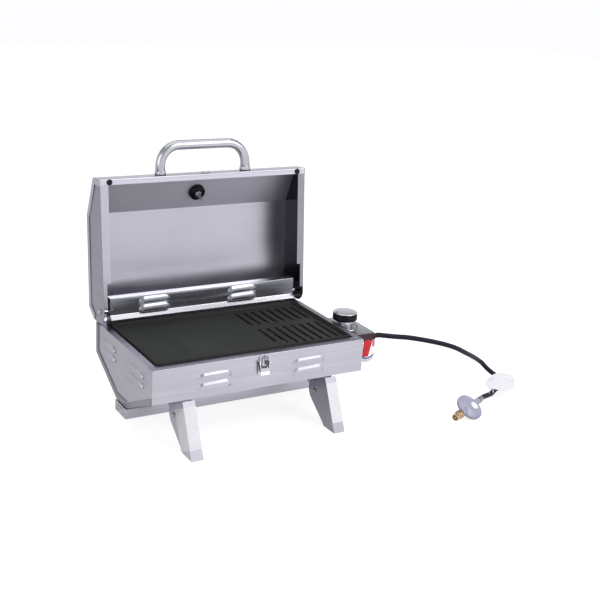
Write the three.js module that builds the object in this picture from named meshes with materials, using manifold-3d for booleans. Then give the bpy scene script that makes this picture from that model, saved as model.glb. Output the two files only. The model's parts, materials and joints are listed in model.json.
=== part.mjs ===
// Folding camp grill: an open lid over a cooking plate, a grease tray, folding legs and a gas line.
// Millimetres. X runs to the right, Y to the rear, Z up. Heights are measured from the top of the base rim.
import * as THREE from 'three';
import { mergeVertices, toCreasedNormals } from 'three/addons/utils/BufferGeometryUtils.js';
import Module from 'manifold-3d';

const wasm = await Module();
wasm.setup();

// Sheet metal and fits
const sheet = 1.2;
const gap = 0.3;
const overrun = 4;
const bendRadius = 2.4;
const bendSteps = 2;

// Base
const bodyWidth = 510;
const bodyDepth = 320;
const rimHeight = 193;
const frontHeight = 76;
const rearHeight = 72;
const troughDepth = 136;
const floorFront = 29;
const floorRear = 35;
const frontRim = 20;
const sideRim = 15;
const rearRim = 31;
const upstand = 10;
const lapWidth = 14;
const returnWidth = 12;
const drainLength = 440;
const drainWidth = 28;
const drainMiddle = 4;

// Louvres
const louvreLength = 78;
const louvreHeight = 14;
const louvreDepth = 6;
const louvreSides = 12;
const louvreRings = 3;
const frontLouvreX = 114;
const frontLouvreRows = [-28, -50];
const sideLouvreFront = -76;
const sideLouvreRear = 83;
const sideLouvreRows = [-29.5, -50];
const guardLouvrePlaces = [-128.5, 95];
const guardLouvreRows = [51, 32];

// Ledges under the plate
const ledgeTop = 8.3;
const ledgeShelf = 31;
const ledgeInner = bodyWidth / 2 - ledgeShelf;
const ledgeFoot = 34;
const ledgeFootWidth = 12;
const ledgeFront = 138;
const ledgeRear = 125;
const ledgeRise = 6.3;

// Cooking plate
const plateInset = 19;
const plateWidth = bodyWidth - 2 * plateInset;
const plateFront = 138;
const plateRear = 126;
const plateLip = 4.5;
const plateLipWidth = 4;
const plateSurface = 3;
const plateThick = 5;
const plateCorner = 7;
const slotWidth = 8.5;
const slotPitch = 21.2;
const slotFirst = 215.2;
const slotCount = 8;
const frontSlotNear = -117;
const frontSlotFar = -10;
const rearSlotNear = 17;
const rearSlotFar = 107;
const slotStagger = [0, 0, 0, 0, 0, 0, 9, 22.5];

// Heat plates
const tentMiddle = 62;
const tentHalf = 36;
const tentFoot = 8;
const tentRise = 15;

// Burner
const burnerRadius = 10;
const burnerSides = 12;
const burnerSpread = 66;
const burnerDrop = 60;
const burnerLeft = 205;
const burnerRight = 200;
const burnerJoin = 190;
const burnerTurn = 140;
const burnerLoop = 60;
const burnerBend = 34;
const burnerBendSteps = 4;
const burnerMouth = 266;
const mouthDrop = 31;
const bracketHalf = 15;
const bracketReach = 40;
const bracketDrop = 14;
const clipPlace = 90;
const clipWidth = 8;
const clipWall = 3;
const electrodeRadius = 3;
const electrodeLength = 42;
const electrodeTip = 0.8;
const electrodeReach = 7;

// Rear guard
const guardInset = 20;
const guardHalf = bodyWidth / 2 - guardInset;
const guardFront = 129;
const guardHeight = 61;
const guardDepth = 22;
const guardFoot = 21;
const guardKick = 9;
const guardKickDrop = 8.5;

// Hinge
const pivotY = 139;
const pivotZ = 29;
const openAngle = THREE.MathUtils.degToRad(95.08);
const boltRadius = 3;
const boltHead = 6;
const boltHeadHeight = 3;
const boltNut = 5;
const boltNutHeight = 4;
const boltShoulder = 5.5;
const boltSides = 12;

// Lid
const lidGap = 3;
const lidFront = 44.5;
const creaseY = -72;
const creaseZ = 91;
const shoulderY = 140.4;
const shoulderZ = 96.5;
const wrapEndY = 163.3;
const wrapEndZ = 66;
const tabBack = 165.5;
const tabRadius = 26.5;
const tabSteps = 6;
const lidFrontFlange = 13;
const lidSideFlange = 18;
const lidRearFlange = 9;
const flangeStep = 71;
const flangeEnd = 128;
const bumperRadius = 6.5;
const bumperHeight = 2.4;
const bumperInset = 21;
const bumperX = bodyWidth / 2 - bumperInset;
const bumperY = 153;

// Handle
const handleRadius = 11;
const handleSides = 16;
const handleHalf = 106;
const handleReach = 64.5;
const handleZ = 25;
const handleBend = 45;
const handleBendSteps = 7;
const collarRadius = 12.6;
const collarLength = 9;
const collarFit = 0.4;

// Thermometer
const dialX = 1.5;
const dialAlong = 54;
const dialHole = 19;
const dialBezel = 26;
const dialBezelHeight = 8;
const dialCup = 18.4;
const dialCupDepth = 11;
const dialFace = 22;
const dialNut = 8;
const dialNutHeight = 5;
const dialStem = 3;
const dialStemLength = 24;
const dialSides = 28;
const needleLength = 17;
const needleWidth = 2;
const needleTip = 0.5;
const lensRise = 2.7;
const nutSides = 6;

// Latch
const latchWidth = 26;
const latchTop = 12;
const latchBottom = 44;
const latchPivotOut = 5;
const latchPivotZ = 20;
const earTop = 15;
const earBottom = 25;
const earReach = 8;
const leverHalf = 11;
const leverWebTop = 29;
const leverBottom = 43;
const leverOut = 8.2;
const leverCurl = 3;
const leverFlange = 6;
const stubRadius = 1.4;
const bailWire = 1.3;
const bailHalf = 7;
const bailPivotZ = 26;
const bailTop = 3.6;
const bailBend = 4;
const keeperHalf = 9;
const keeperBottom = 6;
const keeperTop = 18;
const keeperOut = 5;
const keeperLip = 4;

// Control box, valve and knob
const boxWidth = 81.7;
const boxFront = 89;
const boxRear = 40;
const boxTop = 20;
const boxSkirt = 18;
const boxCorner = 7;
const knobReach = 35;
const knobX = bodyWidth / 2 + knobReach;
const knobY = -26;
const knobRadius = 29;
const knobBottom = -0.7;
const knobSkirt = 16;
const knobCapHeight = 4;
const knobCapRim = 1.6;
const knobCapSteps = 4;
const knobCapFlatShare = 0.4;
const knobRecess = 22;
const knobRecessDepth = 7;
const knobSides = 28;
const pointerRadius = 2;
const bezelRadius = 34;
const bezelHeight = 2.2;
const collarOuter = 19.5;
const collarHeight = 16;
const stemRadius = 4;
const stemFlat = 3;
const stemDepth = 29;
const pushTravel = 2.5;
const plungerRadius = 3.2;
const plungerLength = 4;
const valveHalf = 11;
const valveHeight = 18;
const nozzleRadius = 4;
const nozzleLength = 6;
const inletY = -80;
const inletDrop = 31;
const inletRadius = 4;
const inletBend = 12;
const inletNut = 8;
const inletNutLength = 3;

// Grease tray and its rails
const trayFront = 27;
const trayRear = 35.5;
const trayOver = 3;
const trayLeft = bodyWidth / 2 + trayOver;
const trayUnder = 2;
const trayRight = bodyWidth / 2 - trayUnder;
const trayTop = 2.7;
const trayBottom = 27;
const trayLip = 8;
const railWeb = 5;
const railInset = 5;
const railHalf = bodyWidth / 2 - railInset;
const pullWire = 1.6;
const pullHalf = 16;
const pullReach = 9;
const pullRise = 13;
const pullBend = 6;
const pullMiddle = -8;

// Legs
const legInset = 95.5;
const legInner = bodyWidth / 2 - legInset;
const legWidth = 27.5;
const legOuter = legInner + legWidth;
const legPivotY = 119;
const legPivotZ = 125;
const legHipRadius = 25;
const legHipFrom = -45;
const legHipTo = 62;
const legHipSteps = 5;
const legTopY = 160.5;
const legTopZ = 79.5;
const toeY = 213;
const heelY = 167;
const heelRiseY = 163;
const heelRiseZ = 188;
const shinY = 126;
const shinZ = 162;
const kneeY = 101;
const kneeZ = 144;
const smallSides = 8;
const bracketFront = 146;
const bracketBack = 80;
const bracketLobe = 11;
const pinRadius = 3;
const pinHead = 5.5;
const pinHeadHeight = 2.2;

// Gas line
const hoseRadius = 6;
const hoseSides = 10;
const hoseSteps = 40;
const ferruleRadius = 7.6;
const ferruleLength = 16;
const regulatorMiddle = new THREE.Vector3(505, -254, -171.8);
const regulatorPort = new THREE.Vector3(0.918, 0.39, 0.07);
const regulatorUp = new THREE.Vector3(0.17, -0.547, 0.82);
const discRadius = 33;
const discEdge = 4;
const discBase = 5;
const discBaseRadius = 24;
const coverRadius = 30;
const coverHeight = 7;
const coverTop = 18;
const portRadius = 7;
const portReach = 44;
const inletPortReach = 40;
const tankNut = 10;
const tankNutLength = 12;
const tankRing = 9;
const tankStep = 6.5;
const tankLength = 26;

// Angles and counts for rounded work
const creaseShare = 0.2;
const quarter = Math.PI / 2;

// Half sizes that many pieces share
const halfWidth = bodyWidth / 2;
const halfDepth = bodyDepth / 2;
const panelInside = halfWidth - sheet;
const lapInside = halfWidth + gap;
const lapOutside = lapInside + sheet;

// Materials, coloured as seen
function metal(color, roughness) {
  return new THREE.MeshStandardMaterial({ color, roughness, metalness: 1 });
}
function plain(color, roughness) {
  return new THREE.MeshStandardMaterial({ color, roughness, metalness: 0 });
}
const stainless = metal(0xc9c8d2, 0.34);
const polished = metal(0xbfc0c8, 0.16);
const chrome = metal(0xd8d9de, 0.1);
const brass = metal(0xc2a258, 0.32);
const zinc = metal(0xa9abb6, 0.45);
const castIron = plain(0x2c2e2d, 0.6);
const blackPlastic = plain(0x17171c, 0.4);
const whiteFace = plain(0xe9e9e4, 0.5);
const redPaint = plain(0xb3271f, 0.4);
const lens = plain(0xdfe6ea, 0.05);
const rubber = plain(0x26252b, 0.7);
const ceramic = plain(0xe6e2d6, 0.35);

// Solids and booleans
function solid(geometry) {
  const bare = new THREE.BufferGeometry();
  bare.setAttribute('position', geometry.getAttribute('position'));
  bare.setIndex(geometry.index);
  const merged = mergeVertices(bare);
  return new wasm.Manifold(new wasm.Mesh({
    numProp: 3,
    vertProperties: new Float32Array(merged.getAttribute('position').array),
    triVerts: new Uint32Array(merged.index.array),
  }));
}

function surface(body) {
  const mesh = body.getMesh();
  const geometry = new THREE.BufferGeometry();
  geometry.setAttribute('position', new THREE.BufferAttribute(mesh.vertProperties, mesh.numProp));
  geometry.setIndex(new THREE.BufferAttribute(mesh.triVerts, 1));
  return toCreasedNormals(geometry, Math.PI * creaseShare);
}

function sweep(points, holes, from, to, basis) {
  const outline = new THREE.Shape(points.map(([a, b]) => new THREE.Vector2(a, b)));
  outline.holes = holes.map((hole) => new THREE.Path(hole.map(([a, b]) => new THREE.Vector2(a, b))));
  const geometry = new THREE.ExtrudeGeometry(outline, { depth: to - from, bevelEnabled: false });
  geometry.translate(0, 0, from);
  geometry.applyMatrix4(basis);
  return solid(geometry);
}

const unitX = new THREE.Vector3(1, 0, 0);
const unitY = new THREE.Vector3(0, 1, 0);
const unitZ = new THREE.Vector3(0, 0, 1);
const alongXBasis = new THREE.Matrix4().makeBasis(unitY, unitZ, unitX);
const alongYBasis = new THREE.Matrix4().makeBasis(unitZ, unitX, unitY);
const alongZBasis = new THREE.Matrix4();

// An outline of [y, z] points swept along X
function sweepX(points, from, to, holes = []) {
  return sweep(points, holes, from, to, alongXBasis);
}

// An outline of [x, z] points swept along Y
function sweepY(points, from, to, holes = []) {
  const turned = (list) => list.map(([x, z]) => [z, x]);
  return sweep(turned(points), holes.map(turned), from, to, alongYBasis);
}

// An outline of [x, y] points swept along Z
function sweepZ(points, from, to, holes = []) {
  return sweep(points, holes, from, to, alongZBasis);
}

function block(low, high) {
  const size = high.map((value, axis) => value - low[axis]);
  const geometry = new THREE.BoxGeometry(...size);
  geometry.translate(...high.map((value, axis) => (value + low[axis]) / 2));
  return solid(geometry);
}

function circle(a, b, radius, sides) {
  return Array.from({ length: sides }, (_, index) => {
    const angle = (index / sides) * Math.PI * 2;
    return [a + radius * Math.cos(angle), b + radius * Math.sin(angle)];
  });
}

// A rectangle with round corners
function softRectangle(left, near, right, far, radius, steps) {
  const corners = [[right, far, 0], [left, far, 1], [left, near, 2], [right, near, 3]];
  const points = [];
  for (const [a, b, turn] of corners) {
    const middleA = a + (a > left ? -radius : radius);
    const middleB = b + (b > near ? -radius : radius);
    for (let step = 0; step <= steps; step += 1) {
      const angle = (turn + step / steps) * quarter;
      points.push([middleA + radius * Math.cos(angle), middleB + radius * Math.sin(angle)]);
    }
  }
  return points;
}

// A line of points with each inner corner turned into an arc
function rounded(points, radii, steps) {
  const line = points.map((point) => new THREE.Vector3(...point));
  const result = [points[0]];
  for (let index = 1; index < line.length - 1; index += 1) {
    const radius = Array.isArray(radii) ? radii[index - 1] : radii;
    const before = line[index - 1].clone().sub(line[index]).normalize();
    const after = line[index + 1].clone().sub(line[index]).normalize();
    const half = before.angleTo(after) / 2;
    const reach = radius / Math.tan(half);
    const middle = before.clone().add(after).normalize().multiplyScalar(radius / Math.sin(half));
    middle.add(line[index]);
    const start = before.multiplyScalar(reach).add(line[index]).sub(middle);
    const end = after.multiplyScalar(reach).add(line[index]).sub(middle);
    const turn = start.angleTo(end);
    for (let step = 0; step <= steps; step += 1) {
      const share = step / steps;
      const point = start.clone().multiplyScalar(Math.sin((1 - share) * turn) / Math.sin(turn));
      point.addScaledVector(end, Math.sin(share * turn) / Math.sin(turn)).add(middle);
      result.push(point.toArray());
    }
  }
  result.push(points[points.length - 1]);
  return result;
}

function roundedFlat(points, radius, steps) {
  return rounded(points.map(([a, b]) => [a, b, 0]), radius, steps).map(([a, b]) => [a, b]);
}

// The same line moved sideways, to its left when the distance is positive
function moved(points, distance) {
  return points.map((point, index) => {
    const before = points[Math.max(index - 1, 0)];
    const here = points[Math.min(Math.max(index, 1), points.length - 1)];
    const start = points[Math.min(index, points.length - 2)];
    const end = points[Math.min(index + 1, points.length - 1)];
    const first = new THREE.Vector2(here[0] - before[0], here[1] - before[1]).normalize();
    const second = new THREE.Vector2(end[0] - start[0], end[1] - start[1]).normalize();
    const share = distance / (1 + first.dot(second));
    return [point[0] - (first.y + second.y) * share, point[1] + (first.x + second.x) * share];
  });
}

// A folded sheet's section: the line, and the same line moved by the sheet's thickness
function fold(points, thickness, radius = bendRadius) {
  const line = roundedFlat(points, radius, bendSteps);
  return line.concat(moved(line, thickness).reverse());
}

// A profile of [radius, height] points, in either order, turned about an axis
function spin(profile, sides, origin, direction) {
  const outline = profile.map(([r, h]) => new THREE.Vector2(r, h));
  if (THREE.ShapeUtils.isClockWise(outline)) {
    outline.reverse();
  }
  const geometry = new THREE.LatheGeometry(outline, sides);
  geometry.applyQuaternion(new THREE.Quaternion().setFromUnitVectors(unitY, direction));
  geometry.translate(...origin);
  return solid(geometry);
}

// A route whose own points carry the sections of the tube
class Route extends THREE.Curve {
  constructor(points) {
    super();
    this.points = points.map((point) => new THREE.Vector3(...point));
  }

  getPoint(share) {
    const place = share * (this.points.length - 1);
    const index = Math.min(Math.floor(place), this.points.length - 2);
    return this.points[index].clone().lerp(this.points[index + 1], place - index);
  }

  getPointAt(share) {
    return this.getPoint(share);
  }

  getTangentAt(share) {
    const index = Math.round(share * (this.points.length - 1));
    const before = this.points[Math.max(index - 1, 0)];
    const here = this.points[index];
    const after = this.points[Math.min(index + 1, this.points.length - 1)];
    const first = here.clone().sub(before).normalize();
    const second = after.clone().sub(here).normalize();
    return first.add(second).normalize();
  }
}

function tube(points, radius, sides) {
  const outline = new THREE.Shape(circle(0, 0, radius, sides).map(([a, b]) => new THREE.Vector2(a, b)));
  const route = new Route(points);
  const geometry = new THREE.ExtrudeGeometry(outline, { extrudePath: route, steps: points.length - 1 });
  return solid(geometry);
}

function join(bodies) {
  return bodies.reduce((whole, body) => whole.add(body));
}

function cut(body, tools) {
  return tools.reduce((whole, tool) => whole.subtract(tool), body);
}

function placed(body, matrix) {
  return body.transform(matrix.elements);
}

function named(name, body, material) {
  const mesh = new THREE.Mesh(surface(body), material);
  mesh.name = name;
  return mesh;
}

// A pressed louvre: half a long dome over a slit, open along its lower edge
function halfDome(radius, depth, from) {
  const straight = louvreLength - 2 * louvreHeight;
  const geometry = new THREE.CapsuleGeometry(radius, straight, louvreRings, louvreSides);
  geometry.rotateZ(quarter);
  geometry.scale(1, 1, depth / radius);
  const reach = louvreLength;
  return solid(geometry).intersect(block([-reach, 0, from], [reach, reach, reach]));
}
const hood = halfDome(louvreHeight, louvreDepth, -sheet / 2);
const hollow = halfDome(louvreHeight - sheet, louvreDepth - sheet, -louvreDepth);

function withLouvres(panel, places) {
  const matrices = places.map(([along, origin]) => {
    const matrix = new THREE.Matrix4().makeBasis(along, unitZ, along.clone().cross(unitZ));
    return matrix.setPosition(origin[0], origin[1], origin[2] - louvreHeight / 2);
  });
  const hoods = matrices.map((matrix) => placed(hood, matrix));
  const hollows = matrices.map((matrix) => placed(hollow, matrix));
  return cut(join([panel, ...hoods]), hollows);
}

// Trough sheet: rear wall, two slopes, drained floor and lap flanges outside the side panels
const troughStart = -halfDepth + sheet + gap;
const troughLine = [
  [troughStart, -frontHeight + upstand],
  [troughStart, -frontHeight],
  [-floorFront, -troughDepth],
  [floorRear, -troughDepth],
  [halfDepth, -rearHeight],
  [halfDepth, 0],
  [halfDepth - rearRim, 0],
];
function slopeHeight(distance, side) {
  const rearSlope = [halfDepth, rearHeight, floorRear];
  const frontSlope = [-troughStart, frontHeight, floorFront];
  const [edge, height, floor] = side > 0 ? rearSlope : frontSlope;
  return THREE.MathUtils.lerp(-height, -troughDepth, (edge - distance) / (edge - floor));
}

function makeTrough() {
  const wrap = sweepX(fold(troughLine, sheet), -lapOutside, lapOutside);
  const lapLine = troughLine.slice(1, -1);
  const lapOutline = lapLine.concat(moved(lapLine, lapWidth).reverse());
  const lap = sweepX(lapOutline, lapInside, lapOutside);
  const corner = block(
    [panelInside - sheet - 2 * gap, troughStart - overrun, bendRadius - frontHeight],
    [lapOutside + overrun, troughStart + returnWidth + overrun, 0],
  );
  const drain = softRectangle(
    -drainLength / 2, drainMiddle - drainWidth / 2, drainLength / 2, drainMiddle + drainWidth / 2,
    drainWidth / 2, bendSteps,
  );
  const drainCut = sweepZ(drain, -troughDepth - overrun, -troughDepth + overrun);
  const trimmed = cut(wrap, [corner, corner.mirror([1, 0, 0]), drainCut]);
  const rimClear = block([lapInside - overrun / 2, halfDepth - rearRim - overrun, -sheet],
    [lapOutside, halfDepth - sheet, 0]);
  return cut(join([trimmed, lap, lap.mirror([1, 0, 0])]), [rimClear, rimClear.mirror([1, 0, 0])]);
}

// Front panel with its rim flange and side returns
function makeFrontPanel() {
  const line = [[-halfDepth, -frontHeight], [-halfDepth, 0], [frontRim - halfDepth, 0]];
  const face = sweepX(fold(line, -sheet), -halfWidth, halfWidth);
  const side = block(
    [panelInside - sheet - gap, -halfDepth + sheet / 2, bendRadius + gap - frontHeight],
    [panelInside - gap, -halfDepth + sheet + returnWidth, -sheet / 2],
  );
  const panel = join([face, side, side.mirror([1, 0, 0])]);
  const places = [];
  for (const row of frontLouvreRows) {
    places.push([unitX, [-frontLouvreX, -halfDepth, row]], [unitX, [frontLouvreX, -halfDepth, row]]);
  }
  return withLouvres(panel, places);
}

// Side panels, cut to the trough and flanged at the top
function makeSidePanel(side) {
  const inside = moved(troughLine, sheet + gap);
  const edge = halfDepth - sheet - gap;
  const flangeFront = frontRim - halfDepth + gap;
  const flangeRear = halfDepth - rearRim - gap;
  const top = -sheet - gap;
  const rearFoot = inside[4];
  const footDistance = edge - 2 * bendRadius;
  const frontFoot = [-footDistance, slopeHeight(footDistance, -1) + 2 * sheet];
  const outline = [
    [-edge, top - bendRadius], [-edge, 2 * bendRadius - frontHeight], frontFoot, inside[2], inside[3],
    [rearFoot[0] - bendRadius, rearFoot[1]], [edge, rearFoot[1] + bendRadius], [edge, top - bendRadius],
    [edge - bendRadius, top], [flangeRear, top], [flangeRear, 0], [flangeFront, 0], [flangeFront, top],
    [bendRadius - edge, top],
  ];
  const wall = sweepX(outline, panelInside, halfWidth);
  const flange = block([halfWidth - sideRim, flangeFront, -sheet], [halfWidth, flangeRear, 0]);
  const right = join([wall, flange]);
  const panel = side > 0 ? right : right.mirror([1, 0, 0]);
  const along = side > 0 ? unitY : unitY.clone().negate();
  const places = [];
  for (const row of sideLouvreRows) {
    places.push([along, [side * halfWidth, sideLouvreRear, row]]);
    if (side < 0) {
      places.push([along, [side * halfWidth, sideLouvreFront, row]]);
    }
  }
  return withLouvres(panel, places);
}

// Ledges that carry the plate and, lower down, the heat plates
function makeLedge() {
  const wallFace = panelInside - gap - sheet;
  const line = [
    [wallFace, ledgeRise - ledgeTop], [wallFace, -ledgeTop], [ledgeInner, -ledgeTop],
    [ledgeInner, -ledgeFoot], [ledgeInner - ledgeFootWidth, -ledgeFoot],
  ];
  return sweepY(fold(line, sheet), -ledgeFront, ledgeRear);
}

// Cast plate with a raised lip, smooth on the left and slotted on the right
function makePlate() {
  const half = plateWidth / 2;
  const bottom = -plateSurface - plateThick;
  const outer = softRectangle(-half, -plateFront, half, plateRear, plateCorner, bendSteps);
  const inner = softRectangle(
    plateLipWidth - half, plateLipWidth - plateFront, half - plateLipWidth, plateRear - plateLipWidth,
    plateCorner - plateLipWidth, bendSteps,
  );
  const pocket = sweepZ(inner, -plateSurface, plateLip + overrun);
  const slots = [];
  for (let index = 0; index < slotCount; index += 1) {
    const middle = slotFirst - index * slotPitch;
    const banks = [[frontSlotNear + slotStagger[index], frontSlotFar], [rearSlotNear, rearSlotFar]];
    for (const [near, far] of banks) {
      const outline = softRectangle(
        middle - slotWidth / 2, near, middle + slotWidth / 2, far, slotWidth / 2, bendSteps,
      );
      slots.push(sweepZ(outline, bottom - overrun, overrun));
    }
  }
  return cut(sweepZ(outer, bottom, plateLip), [pocket, ...slots]);
}

// Heat plates: bent sheets over the burner that rest on the ledges
function makeTent(middle) {
  const base = gap - ledgeFoot;
  const line = [
    [middle - tentHalf - tentFoot, base], [middle - tentHalf, base], [middle, base + tentRise],
    [middle + tentHalf, base], [middle + tentHalf + tentFoot, base],
  ];
  const reach = ledgeInner - bendRadius - gap;
  return sweepX(fold(line, sheet, sheet), -reach, reach);
}

// Burner: one bent tube, from its mouth in the control box round the trough
function burnerLine() {
  const line = [
    [burnerMouth, knobY, -mouthDrop],
    [burnerJoin, knobY, -burnerDrop],
    [burnerTurn, -burnerSpread, -burnerDrop],
    [-burnerLeft, -burnerSpread, -burnerDrop],
    [-burnerLeft, burnerSpread, -burnerDrop],
    [burnerRight, burnerSpread, -burnerDrop],
  ];
  return rounded(line, [burnerBend, burnerBend, burnerLoop, burnerLoop], burnerBendSteps);
}

function makeBurnerBracket() {
  const plateTop = -burnerDrop - burnerRadius - gap;
  const foot = block(
    [-panelInside - sheet / 2, -bracketHalf, plateTop - bracketDrop],
    [sheet - panelInside, bracketHalf, plateTop + bracketDrop],
  );
  const arm = block(
    [-panelInside, -bracketHalf, plateTop - sheet],
    [bracketReach - panelInside, bracketHalf, plateTop],
  );
  return join([foot, arm]);
}

// Burner with the welded clip that holds the electrode beside it
const electrodeY = -burnerSpread - burnerRadius - clipWall - electrodeRadius - gap;
function makeBurner(route) {
  const end = clipPlace + clipWidth;
  const ring = sweepX(
    circle(-burnerSpread, -burnerDrop, burnerRadius + clipWall, burnerSides), clipPlace, end,
  );
  const eye = sweepX(
    circle(electrodeY, -burnerDrop, electrodeRadius + clipWall, burnerSides), clipPlace, end,
  );
  const bore = sweepX(
    circle(electrodeY, -burnerDrop, electrodeRadius + gap, burnerSides), clipPlace - overrun, end + overrun,
  );
  return cut(join([tube(route, burnerRadius, burnerSides), ring, eye]), [bore]);
}

function makeElectrode() {
  const start = clipPlace + clipWidth / 2 - electrodeLength / 2;
  const end = start + electrodeLength;
  const profile = [
    [0, -electrodeLength / 2 - electrodeReach], [electrodeTip, -electrodeLength / 2 - electrodeReach],
    [electrodeTip, -electrodeLength / 2], [electrodeRadius, -electrodeLength / 2],
    [electrodeRadius, electrodeLength / 2], [0, electrodeLength / 2],
  ];
  return spin(profile, burnerSides, [(start + end) / 2, electrodeY, -burnerDrop], unitX);
}

// Rear guard: a polished box wall that stands on the rear rim and carries the lid's hinge
function makeGuard() {
  const back = guardFront + guardDepth;
  const line = [
    [guardFront - guardKick, guardFoot - guardKickDrop], [guardFront, guardFoot],
    [guardFront, guardHeight],
    [back, guardHeight], [back, gap],
  ];
  const wall = sweepX(fold(line, -sheet), -guardHalf, guardHalf);
  const end = sweepX(
    [[guardFront + sheet / 2, gap], [guardFront + sheet / 2, guardHeight - sheet / 2],
      [back - sheet / 2, guardHeight - sheet / 2], [back - sheet / 2, gap]],
    guardHalf - sheet, guardHalf, [circle(pivotY, pivotZ, boltRadius + gap, boltSides)],
  );
  const places = [];
  for (const row of guardLouvreRows) {
    places.push(...guardLouvrePlaces.map((place) => [unitX, [place, guardFront, row]]));
  }
  return withLouvres(join([wall, end, end.mirror([1, 0, 0])]), places);
}

// Hinge bolts: nut inside the guard, shoulder across the gap, head outside the lid
function makeHingeBolt() {
  const nutFace = guardHalf - sheet - gap;
  const profile = [
    [0, nutFace - boltNutHeight], [boltNut, nutFace - boltNutHeight], [boltNut, nutFace],
    [boltRadius, nutFace], [boltRadius, guardHalf + gap], [boltShoulder, guardHalf + gap],
    [boltShoulder, panelInside - gap], [boltRadius, panelInside - gap], [boltRadius, lapInside],
    [boltHead, lapInside], [boltHead - sheet, lapInside + boltHeadHeight], [0, lapInside + boltHeadHeight],
  ];
  return spin(profile, boltSides, [0, pivotY, pivotZ], unitX);
}

// Latch on the front panel
const latchPivotY = -halfDepth - gap - sheet - latchPivotOut;
function makeLatchBase() {
  const face = -halfDepth - gap;
  const half = latchWidth / 2;
  const plate = block([-half, face - sheet, -latchBottom], [half, face, -latchTop]);
  const earOutline = [
    [face - sheet / 2, -earBottom], [face - sheet / 2, -earTop], [face - earReach, -earTop],
    [face - earReach, -earBottom],
  ];
  const earHole = circle(latchPivotY, -latchPivotZ, stubRadius + gap, smallSides);
  const ear = sweepX(earOutline, leverHalf + gap, leverHalf + gap + sheet, [earHole]);
  return join([plate, ear, ear.mirror([1, 0, 0])]);
}

function makeLever() {
  const out = -halfDepth - leverOut;
  const web = sweepX(
    fold([[out, -leverWebTop], [out, leverFlange - leverBottom], [out - leverCurl, -leverBottom]], -sheet),
    -leverHalf, leverHalf,
  );
  const hub = stubRadius + sheet;
  const cheekOutline = [
    [out, leverFlange - leverBottom], [out, -latchPivotZ + hub], [latchPivotY + hub, -latchPivotZ + hub],
    [latchPivotY + hub, -bailPivotZ - hub],
  ];
  const bailHole = circle(latchPivotY, -bailPivotZ, bailWire + gap, smallSides);
  const cheek = sweepX(cheekOutline, leverHalf - sheet, leverHalf, [bailHole]);
  const stub = sweepX(
    circle(latchPivotY, -latchPivotZ, stubRadius, smallSides), leverHalf - sheet / 2,
    leverHalf + gap + 2 * sheet,
  );
  const half = join([cheek, stub]);
  return join([web, half, half.mirror([1, 0, 0])]);
}

function makeBail() {
  const pin = leverHalf + gap;
  const line = [
    [-pin, latchPivotY, -bailPivotZ], [-bailHalf, latchPivotY, -bailPivotZ],
    [-bailHalf, latchPivotY, -bailTop], [bailHalf, latchPivotY, -bailTop],
    [bailHalf, latchPivotY, -bailPivotZ], [pin, latchPivotY, -bailPivotZ],
  ];
  const small = bailWire + gap;
  return tube(rounded(line, [small, bailBend, bailBend, small], bendSteps), bailWire, smallSides);
}

// Control box beside the right panel
const boxLeft = lapInside;
const boxRight = boxLeft + boxWidth;
function makeControlBox(burnerClear) {
  const outer = softRectangle(boxLeft, -boxFront, boxRight, boxRear, boxCorner, bendSteps);
  const inner = softRectangle(
    boxLeft + sheet, sheet - boxFront, boxRight - sheet, boxRear - sheet, boxCorner - sheet, bendSteps,
  );
  const shell = sweepZ(outer, -boxTop - boxSkirt, -boxTop);
  const inside = sweepZ(inner, -boxTop - boxSkirt - overrun, -boxTop - sheet);
  const spindle = sweepZ(
    circle(knobX, knobY, stemRadius + 2 * gap, boltSides), -boxTop - overrun, -boxTop + overrun,
  );
  const inlet = sweepX(
    circle(inletY, -inletDrop, inletRadius + gap, boltSides), boxRight - overrun, boxRight + overrun,
  );
  return cut(shell, [inside, spindle, inlet, burnerClear]);
}

function makeBezel() {
  const base = gap - boxTop;
  const profile = [
    [stemRadius + 2 * gap, base], [bezelRadius, base], [bezelRadius - sheet, base + bezelHeight],
    [stemRadius + 2 * gap, base + bezelHeight], [stemRadius + 2 * gap, base],
  ];
  return spin(profile, knobSides, [knobX, knobY, 0], unitZ);
}

function makeCollar() {
  const base = 2 * gap + bezelHeight - boxTop;
  const bore = stemRadius + 2 * gap;
  const profile = [
    [bore, base], [collarOuter, base], [collarOuter, base + collarHeight - sheet],
    [collarOuter - sheet, base + collarHeight], [bore, base + collarHeight], [bore, base],
  ];
  return spin(profile, knobSides, [knobX, knobY, 0], unitZ);
}

function makeValve() {
  const top = -boxTop - sheet - gap;
  const body = block(
    [knobX - valveHalf, knobY - valveHalf, top - valveHeight], [knobX + valveHalf, knobY + valveHalf, top],
  );
  const bore = sweepZ(
    circle(knobX, knobY, stemRadius + gap, boltSides),
    -stemDepth - plungerLength - pushTravel - 2 * gap, top + overrun,
  );
  const nozzle = sweepX(
    circle(knobY, -mouthDrop, nozzleRadius, boltSides), knobX - valveHalf - nozzleLength, knobX,
  );
  const inletStub = sweepY(
    circle(knobX, -inletDrop, inletRadius + sheet, boltSides), knobY - valveHalf - nozzleLength, knobY,
  );
  return cut(join([body, nozzle, inletStub]), [bore]);
}

// Valve stem with a flat, which turns with the knob and is pushed in
function makeStem() {
  const top = knobBottom + knobSkirt - sheet - gap;
  const rod = sweepZ(circle(knobX, knobY, stemRadius, boltSides), -stemDepth, top);
  const flat = block(
    [knobX - 2 * overrun, knobY + stemFlat, knobBottom + knobRecessDepth],
    [knobX + 2 * overrun, knobY + 2 * overrun, top + overrun],
  );
  return cut(rod, [flat]);
}

// Sprung plunger under the stem: the knob turns on it and pushes it in
function makePlunger() {
  const top = -stemDepth - gap;
  return sweepZ(circle(knobX, knobY, plungerRadius, smallSides), top - plungerLength, top);
}

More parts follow.
